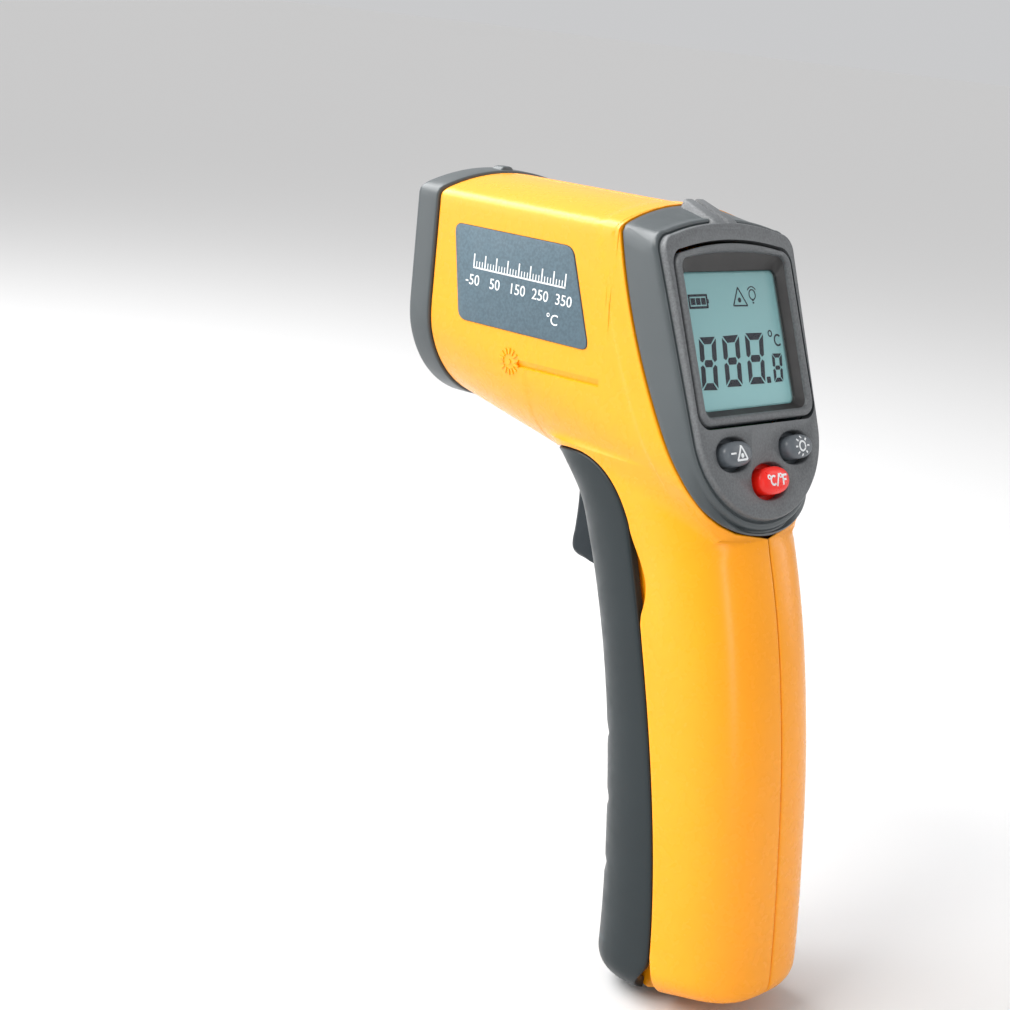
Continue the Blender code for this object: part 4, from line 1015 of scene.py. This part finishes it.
def dome(share):
    """Height of a key's top at a share of the way from its middle to its side."""
    return KEY_SHOULDER + KEY_DOME * math.sqrt(max(0.0, 1 - share**3.2))


def make_key(name, material):
    """A domed key with a soft shoulder that disappears into its hole."""
    half_h = BUTTONS[name][3]
    levels = [(0.35, -2.0), (0.35, -1.0), (-KEY_INSET, -0.95), (-KEY_INSET, KEY_SHOULDER)]
    for share in (0.995, 0.98, 0.95, 0.9, 0.83, 0.74, 0.62, 0.48, 0.32, 0.16, 0.01):
        levels.append((-KEY_INSET - (half_h - KEY_INSET) * (1 - share), dome(share)))
    rings = [key_ring(name, grow, out) for grow, out in levels]
    key = link(name + "_cap", *loft(rings), material, 50)
    slot = "button_red" if name == "button_unit" else "button_grey"
    finish_piece(key, name, slot, name)


def key_height(name, x, down):
    """Height of a key's dome above the display surface, at a point of the panel."""
    cx, cy, half_w, half_h = BUTTONS[name]
    edge = half_h - KEY_INSET
    extra = half_w - half_h
    aside = max(0.0, abs(x - cx) - extra * min(1.0, abs(x - cx) / max(edge, 0.1)))
    share = (abs(aside / edge)**2.3 + abs((down - cy) / edge)**2.3)**(1 / 2.3)
    return dome(min(share, 1.0))


def short_bars(outline, count=4):
    """A four-sided bar as shorter ones, which can follow a curved surface."""
    if len(outline) != 4:
        return [outline]
    a, b, c, d = (np.array(p) for p in outline)
    cuts = np.linspace(0, 1, count + 1)
    return [[tuple(near + (far - near) * cut)
             for near, far, cut in ((a, b, start), (a, b, end), (d, c, end), (d, c, start))]
            for start, end in zip(cuts, cuts[1:])]


def make_key_signs(look):
    """White signs on the keys: a beam triangle, a lamp and the unit pair."""
    signs = {
        "button_laser": [bar((-1.3, 1.25), (1.7, 1.25), 0.4), bar((-1.3, 1.25), (0.2, -1.45), 0.4),
                         bar((0.2, -1.45), (1.7, 1.25), 0.4), oval(0.45, 0.45, (0.2, 0.45), 14, 2),
                         bar((-3.0, -0.1), (-1.6, -0.1), 0.34)],
        "button_light": ring_outlines((0.0, 0.0), 0.75, 0.36, steps=20)
        + [bar(inner, outer, 0.34) for inner, outer in zip(arc((0, 0), 1.5, 0, 315, 8),
                                                           arc((0, 0), (2.15, 2.0), 0, 315, 8))],
        "button_unit": ring_outlines((-2.45, -0.75), 0.25, 0.25, steps=14)
        + ring_outlines((-1.25, 0.0), 0.65, 0.4, 50, 310, 16)
        + [bar((-0.35, 1.2), (0.55, -1.2), 0.36)]
        + ring_outlines((1.05, -0.75), 0.25, 0.25, steps=14)
        + [bar((1.7, -0.95), (1.7, 1.1), 0.42), bar((1.6, -0.78), (3.0, -0.78), 0.4),
           bar((1.6, 0.1), (2.7, 0.1), 0.4)],
    }
    for name, outlines in signs.items():
        cx, cy = BUTTONS[name][:2]
        shapes = []
        for outline in [piece for whole in outlines for piece in short_bars(whole)]:
            placed = [(x, y, key_height(name, x, y)) for x, y in moved(outline, cx, cy)]
            shapes.append(loft([[place_on_panel(x, y, top + lift) for x, y, top in placed]
                                for lift in (-0.06, 0.05)]))
        sign = link(name.replace("button", "sign"), *joined(*shapes), look["white_ink"])
        finish_piece(sign, name, "diffuser_white")


# ---------------------------------------------------------------- labels and mouldings
def side_point(y, z, lift, side):
    relief = float(shell_relief(np.array([[(0.0, y, z)]]))[0, 0])
    return (side * (float(half_width(y, z)) - relief + lift), y, z)


def text_outline(body, size, centre, side):
    """Figures lying on the label: mesh of a text object, turned to face outward."""
    curve = bpy.data.curves.new("figures", "FONT")
    curve.body = body
    curve.size = size
    curve.align_x = "CENTER"
    curve.resolution_u = 3
    curve.extrude = 0.03
    thing = put_in_scene("figures", curve)
    mesh = evaluated_mesh(thing)
    lift = HEAD_HALF_WIDTH + curve.extrude
    verts = [(side * (lift + v.co.z), centre[0] + side * v.co.x, centre[1] + v.co.y)
             for v in mesh.vertices]
    faces = [tuple(p.vertices) for p in mesh.polygons]
    bpy.data.objects.remove(thing, do_unlink=True)
    return verts, faces


SCALE_START = 31.0
SCALE_LEVEL = 140.2
SCALE_STEP = 3.1          # between two long ticks
SCALE_NUMBERS = ("-50", "50", "150", "250", "350")
FIGURE_SIZE = 3.0


def scale_bars():
    """The label's scale: its ticks, each fourth one longer, and the line that they stand on."""
    bars = []
    for k in range(33):
        y = SCALE_START - k * SCALE_STEP / 4
        height, width = (2.7, 0.3) if k % 4 == 0 else (1.3, 0.2)
        bars.append(bar((y, SCALE_LEVEL), (y, SCALE_LEVEL + height), width))
    end = SCALE_START - 8 * SCALE_STEP
    return bars + [bar((SCALE_START + 0.15, SCALE_LEVEL), (end - 0.15, SCALE_LEVEL), 0.32)]


def make_labels(look):
    for word, side in (("left", -1), ("right", 1)):
        rings = []
        for grow, depth in ((0.0, LABEL_THICKNESS), (0.0, 0.1), (-0.04, 0.03), (-0.12, 0.0)):
            x = side * (HEAD_HALF_WIDTH - depth)
            rings.append([(x, y, z) for y, z in label_outline(grow)])
        name = "side_label_" + word
        film = link(name + "_film", *loft(rings), look["label"])
        finish_piece(film, "case", "label_blue_grey", name)
        low, high = HEAD_HALF_WIDTH - 0.01, HEAD_HALF_WIDTH + 0.04
        marks = [side_slab(piece, low, high, side) for piece in scale_bars()]
        figures = [(number, 2 * k, 136.7) for k, number in enumerate(SCALE_NUMBERS)]
        for body, steps, z in figures + [("°C", 7.2, 132.6)]:
            place = (SCALE_START - steps * SCALE_STEP, z)
            marks.append(text_outline(body, FIGURE_SIZE, place, side))
        scale = link("label_scale_" + word, *joined(*marks), look["white_ink"])
        finish_piece(scale, "case", "diffuser_white")


def raised(outline, height, side):
    """A moulded mark standing a little proud of the shell's side."""
    return loft([[side_point(y, z, lift, side) for y, z in outline] for lift in (-0.25, height)])


def mark_channel(side):
    """A moulded channel with a sloping floor, which runs back from the sun mark."""
    section = ((0.85, 0.3), (0.75, -0.02), (-0.5, -0.5), (-0.85, 0.3))     # height, depth
    rings = []
    for y in np.linspace(*CHANNEL_ENDS, 14):
        z = MARK_CENTRE[1] + 0.015 * (CHANNEL_ENDS[0] - y)
        rings.append([side_point(y, z + rise, lift, side) for rise, lift in section])
    return loft(rings)


def make_side_mark(look):
    """A small sun, moulded on the left side of the head."""
    inner, outer = (arc(MARK_CENTRE, r, 0, 360, 2 * MARK_RAYS + 1)[1::2] for r in (1.5, 2.7))
    dot = arc(MARK_CENTRE, 0.5, 0, 360, 13)[:-1]
    rays = [bar(a, b, 0.4) for a, b in zip(inner, outer)]
    shapes = [raised(mark, MARK_HEIGHT, -1) for mark in [dot, *rays]]
    finish_piece(link("side_mark_left", *joined(*shapes), look["orange"]), "case", "shell_orange")


# ---------------------------------------------------------------- materials
def set_inputs(tree, node, values):
    """Sets inputs of a shader node, each to a value, a colour or another node's output."""
    for name, value in values.items():
        if isinstance(value, bpy.types.NodeSocket):
            tree.links.new(value, node.inputs[name])
        else:
            is_colour = isinstance(value, tuple) and node.inputs[name].type == "RGBA"
            node.inputs[name].default_value = (*value, 1.0) if is_colour else value
    return node.outputs


def add_node(tree, kind, **values):
    return set_inputs(tree, tree.nodes.new("ShaderNode" + kind), values)


def nodes_of(name, colour, roughness, metallic=0.0):
    material = bpy.data.materials.new(name)
    material.use_nodes = True
    tree = material.node_tree
    shader = tree.nodes["Principled BSDF"]
    set_inputs(tree, shader, {"Base Color": colour, "Roughness": roughness, "Metallic": metallic})
    return material, tree, shader


def noise(tree, scale, detail=2.0, stretch=(1, 1, 1)):
    place = add_node(tree, "TexCoord")["Object"]
    mapping = add_node(tree, "Mapping", Scale=stretch, Vector=place)["Vector"]
    return add_node(tree, "TexNoise", Scale=scale, Detail=detail, Vector=mapping)["Fac"]


def ranged(tree, value, low, high, out_low, out_high):
    limits = {"From Min": low, "From Max": high, "To Min": out_low, "To Max": out_high}
    return add_node(tree, "MapRange", Value=value, **limits)["Result"]


def drifting(tree, scale, detail, low, high, stretch=(1, 1, 1)):
    """Noise that wanders between two values."""
    return ranged(tree, noise(tree, scale, detail, stretch), 0.3, 0.7, low, high)


def mixed(tree, share, first, second):
    """Colour between two: each a colour or a socket."""
    node = tree.nodes.new("ShaderNodeMix")
    node.data_type = "RGBA"
    return set_inputs(tree, node, {"Factor": share, 6: first, 7: second})[2]


def bumped(tree, shader, height, strength, distance):
    normal = add_node(tree, "Bump", Strength=strength, Distance=distance, Height=height)["Normal"]
    tree.links.new(normal, shader.inputs["Normal"])


def shifted(colour, factor):
    return tuple(min(1.0, c * factor) for c in colour)


def plastic(name, colour, roughness, grain, depth, edge_wear_and_highlight=1.25, spread=0.06, mottle=None, gloss=0.5):
    """Moulded plastic: fine grain, slight colour drift, paler edges that are part wear, part
    painted highlight.
    """
    material, tree, shader = nodes_of(name, colour, roughness)
    drift = drifting(tree, 60, 3, 0, 1)
    base = mixed(tree, drift, shifted(colour, 1 - spread), shifted(colour, 1 + spread))
    if mottle:
        speck = ranged(tree, noise(tree, mottle, 1), 0.35, 0.65, 0, 1)
        base = mixed(tree, speck, base, shifted(colour, 1.35))
    # Paler colour on sharp edges: partly wear, partly a painted highlight where the rims catch the
    # light.
    worn_and_highlit_edges = ranged(tree, add_node(tree, "NewGeometry")["Pointiness"], 0.53, 0.6, 0, 0.6)
    set_inputs(tree, shader, {
        "Specular IOR Level": gloss,
        "Base Color": mixed(tree, worn_and_highlit_edges, base, shifted(colour, edge_wear_and_highlight)),
        "Roughness": drifting(tree, 350, 2, roughness - spread, roughness + spread),
    })
    bumped(tree, shader, noise(tree, grain, 2), 0.35, depth)
    return material


def metal(name, colour, roughness, stretch=(1, 1, 12)):
    material, tree, shader = nodes_of(name, colour, roughness, 1.0)
    brushed = noise(tree, 900, 3, stretch)
    tarnish = ranged(tree, noise(tree, 220, 3), 0.4, 0.75, 0, 1)
    set_inputs(tree, shader, {
        "Base Color": mixed(tree, tarnish, colour, shifted(colour, 0.75)),
        "Roughness": ranged(tree, brushed, 0.3, 0.7, roughness - 0.08, roughness + 0.12),
    })
    bumped(tree, shader, brushed, 0.2, 0.00003)
    return material


def circuit(name):
    """Solder mask with paler tracks and small pads."""
    material, tree, shader = nodes_of(name, (0.02, 0.16, 0.06), 0.35)
    place = add_node(tree, "TexCoord")["Object"]
    tracks = add_node(tree, "TexBrick", Vector=place, Scale=420, Color1=(0.02, 0.16, 0.06),
                      Color2=(0.03, 0.2, 0.08), Mortar=(0.08, 0.34, 0.14), **{"Mortar Size": 0.03})
    tree.links.new(tracks["Color"], shader.inputs["Base Color"])
    bumped(tree, shader, tracks["Fac"], 0.3, 0.00005)
    return material


def lit_display(name):
    """Backlit liquid crystal: teal, brighter towards its lower edge."""
    material, tree, shader = nodes_of(name, (0.27, 0.47, 0.49), 0.3)
    split = add_node(tree, "SeparateXYZ", Vector=add_node(tree, "TexCoord")["Object"])
    top, bottom = (metres(place_on_panel(0, down, 0))[0, 2] for down in (0, 26))
    height = ranged(tree, split["Z"], bottom, top, 0, 1)
    glow = mixed(tree, height, (0.19, 0.38, 0.39), (0.12, 0.26, 0.27))
    tint = mixed(tree, drifting(tree, 90, 2, 0, 0.25), glow, (0.15, 0.31, 0.32))
    set_inputs(tree, shader, {"Specular IOR Level": 0.25, "Base Color": tint,
                              "Emission Color": tint, "Emission Strength": 0.3})
    return material


def clear_pane(name):
    material, tree, shader = nodes_of(name, (0.9, 0.95, 0.95), 0.06)
    set_inputs(tree, shader, {"Alpha": 0.03, "Specular IOR Level": 0.2,
                              "Roughness": drifting(tree, 400, 2, 0.03, 0.09)})
    return material


def make_looks():
    return {
        "orange": plastic("orange_moulding", (1.0, 0.36, 0.003), 0.27, 2600, 0.00001, 1.08,
                          spread=0.015, gloss=0.42),
        "bezel": plastic("bezel_texture", (0.1, 0.106, 0.111), 0.5, 2200, 0.00009, 1.7,
                         mottle=2400),
        "bezel_satin": plastic("bezel_satin", (0.062, 0.074, 0.079), 0.36, 1500, 0.00001, 1.5,
                               spread=0.04),
        # Near-black walls round the display glass: painted shade for the deep recess, not the
        # bezel's own colour.
        "recess": plastic("recess_painted_shade", (0.02, 0.019, 0.019), 0.4, 1600, 0.00002, 1.6),
        # The slate's strong edge factor mostly paints a highlight along the door's rims.
        "slate": plastic("grip_slate", (0.014, 0.021, 0.024), 0.36, 1800, 0.00002, 3.0, gloss=0.28),
        "trigger": plastic("trigger_slate", (0.01, 0.016, 0.021), 0.38, 1800, 0.00002, 2.6,
                           gloss=0.26),
        "label": plastic("label_film", (0.06, 0.1, 0.127), 0.5, 2600, 0.00003, mottle=1900),
        "display": lit_display("display_lit"),
        "ink": plastic("display_ink", (0.003, 0.004, 0.014), 0.6, 2000, 0.00001, 1.0, gloss=0.04),
        "white_ink": plastic("white_ink", (0.8, 0.82, 0.83), 0.5, 2000, 0.00001, 1.0),
        "clear": clear_pane("window_clear"),
        "key": plastic("key_grey", (0.1, 0.115, 0.13), 0.38, 2400, 0.00003, 1.4),
        "key_red": plastic("key_red", (0.9, 0.012, 0.004), 0.32, 2400, 0.00002, 1.1),
        "black": plastic("black_plastic", (0.018, 0.018, 0.02), 0.45, 1500, 0.00004, 2.0),
        "steel": metal("zinc_steel", (0.58, 0.58, 0.57), 0.28),
        "brass": metal("brass", (0.72, 0.5, 0.2), 0.3),
        "board": circuit("circuit_board"),
        "white": plastic("diffuser", (0.75, 0.76, 0.76), 0.5, 900, 0.00003, 1.0),
        "rubber": plastic("contact_rubber", (0.1, 0.1, 0.11), 0.7, 1200, 0.00005, 1.2),
        "lens": plastic("infrared_lens", (0.12, 0.11, 0.13), 0.12, 600, 0.00001, 1.0),
        "laser": plastic("laser_window", (0.11, 0.004, 0.004), 0.12, 600, 0.00001, 1.0, gloss=0.3),
        "cell": plastic("cell_jacket", (0.22, 0.24, 0.27), 0.3, 500, 0.00002, 1.2),
        "wire_red": plastic("wire_red", (0.5, 0.015, 0.015), 0.45, 1500, 0.00003),
        "wire_black": plastic("wire_black", (0.02, 0.02, 0.02), 0.45, 1500, 0.00003),
    }


SLOT_LOOKS = {
    "shell_orange": "orange", "bezel_grey": "bezel", "grip_slate": "slate",
    "label_blue_grey": "label", "button_grey": "key", "button_red": "key_red",
    "window_clear": "clear", "display_teal": "display", "diffuser_white": "white",
    "zebra_rubber": "rubber", "board_green": "board", "black_plastic": "black",
    "lens_smoke": "lens", "laser_window_red": "laser", "cell_jacket": "cell",
}


def dress_cad_nodes(look):
    slots = {entry["node"]: entry["material_slot"] for entry in frame["record"]["subparts"]}
    for name, node in frame["nodes"].items():
        node.data.materials.clear()
        node.data.materials.append(look[SLOT_LOOKS.get(slots[name], slots[name])])


# ---------------------------------------------------------------- stage
CAMERA_AZIMUTH = math.radians(50.822)
CAMERA_ELEVATION = math.radians(14.324)
CAMERA_ROLL = math.radians(6.709)
CAMERA_DISTANCE = 0.395773
CAMERA_TARGET = Vector((0.0, 0.027, 0.034058))
CAMERA_LENS = 69.43
CAMERA_SHIFT = (-0.1258, 0.0318)
FLOOR_HALF_SIZE = 60.0
LIT_POINT = (0, 0.01, 0.04)


def make_camera():
    a, e = CAMERA_AZIMUTH, CAMERA_ELEVATION
    back = Vector((-math.sin(a) * math.cos(e), -math.cos(a) * math.cos(e), math.sin(e)))
    level = Vector((math.cos(a), -math.sin(a), 0))
    rise = back.cross(level)
    right = level * math.cos(CAMERA_ROLL) + rise * math.sin(CAMERA_ROLL)
    up = back.cross(right)
    data = bpy.data.cameras.new("camera")
    data.lens = CAMERA_LENS
    data.sensor_width = 36
    data.shift_x, data.shift_y = CAMERA_SHIFT
    data.clip_start = 0.01
    camera = put_in_scene("camera", data)
    turn = Matrix((right, up, back)).transposed().to_4x4()
    camera.matrix_world = Matrix.Translation(CAMERA_TARGET + back * CAMERA_DISTANCE) @ turn
    bpy.context.scene.camera = camera


def turned_to(direction):
    return direction.to_track_quat("-Z", "Y").to_euler()


def area_light(name, place, size, power):
    data = bpy.data.lights.new(name, "AREA")
    data.shape = "RECTANGLE"
    data.size, data.size_y = size
    data.energy = power
    light = put_in_scene(name, data)
    light.location = place
    light.rotation_euler = turned_to(Vector(LIT_POINT) - Vector(place))


def make_stage():
    size, z = FLOOR_HALF_SIZE, (FLOOR_LEVEL - BASE_Z) * 0.001
    mesh = bpy.data.meshes.new("floor")
    corners = [(-size, -size, z), (size, -size, z), (size, size, z), (-size, size, z)]
    mesh.from_pydata(corners, [], [(0, 1, 2, 3)])
    floor = put_in_scene("floor", mesh)
    material, tree, shader = nodes_of("floor_paper", (0.63, 0.632, 0.635), 0.8)
    bumped(tree, shader, noise(tree, 300, 3), 0.1, 0.0002)
    mesh.materials.append(material)
    world = bpy.data.worlds.new("studio")
    bpy.context.scene.world = world
    bpy.context.scene.view_settings.view_transform = "Standard"
    world.use_nodes = True
    background = world.node_tree.nodes["Background"].inputs
    background["Color"].default_value = (0.95, 0.955, 0.97, 1)
    background["Strength"].default_value = 0.62
    sun = put_in_scene("sun", bpy.data.lights.new("sun", "SUN"))
    sun.data.energy = 1.5
    sun.data.angle = math.radians(24)
    sun.data.color = (1.0, 0.97, 0.93)
    sun.rotation_euler = turned_to(Vector((0.75, -0.15, -0.75)))
    area_light("edge_strip", (-0.16, 0.5, 0.62), (0.8, 0.55), 9.5)
    area_light("rear_strip", (-0.3, -0.75, 0.25), (0.08, 0.6), 1.0)
    area_light("right_strip", (0.7, -0.35, 0.3), (0.12, 0.6), 0.7)
    area_light("front_fill", (-0.6, 0.6, 0.25), (0.4, 0.5), 2.1)


def finish_piece(piece, body, slot, *nodes):
    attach(piece, body)
    if nodes:
        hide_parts(*nodes)


def main():
    look = make_looks()
    dress_cad_nodes(look)
    make_shells(look)
    make_door(look)
    make_trigger(look)
    make_front_bezel(look)
    make_rear_bezel(look)
    make_window_frame(look)
    make_rear_sight(look)
    make_display(look)
    for name in BUTTONS:
        make_key(name, look["key_red" if name == "button_unit" else "key"])
    make_key_signs(look)
    make_labels(look)
    make_side_mark(look)
    make_camera()
    make_stage()


main()
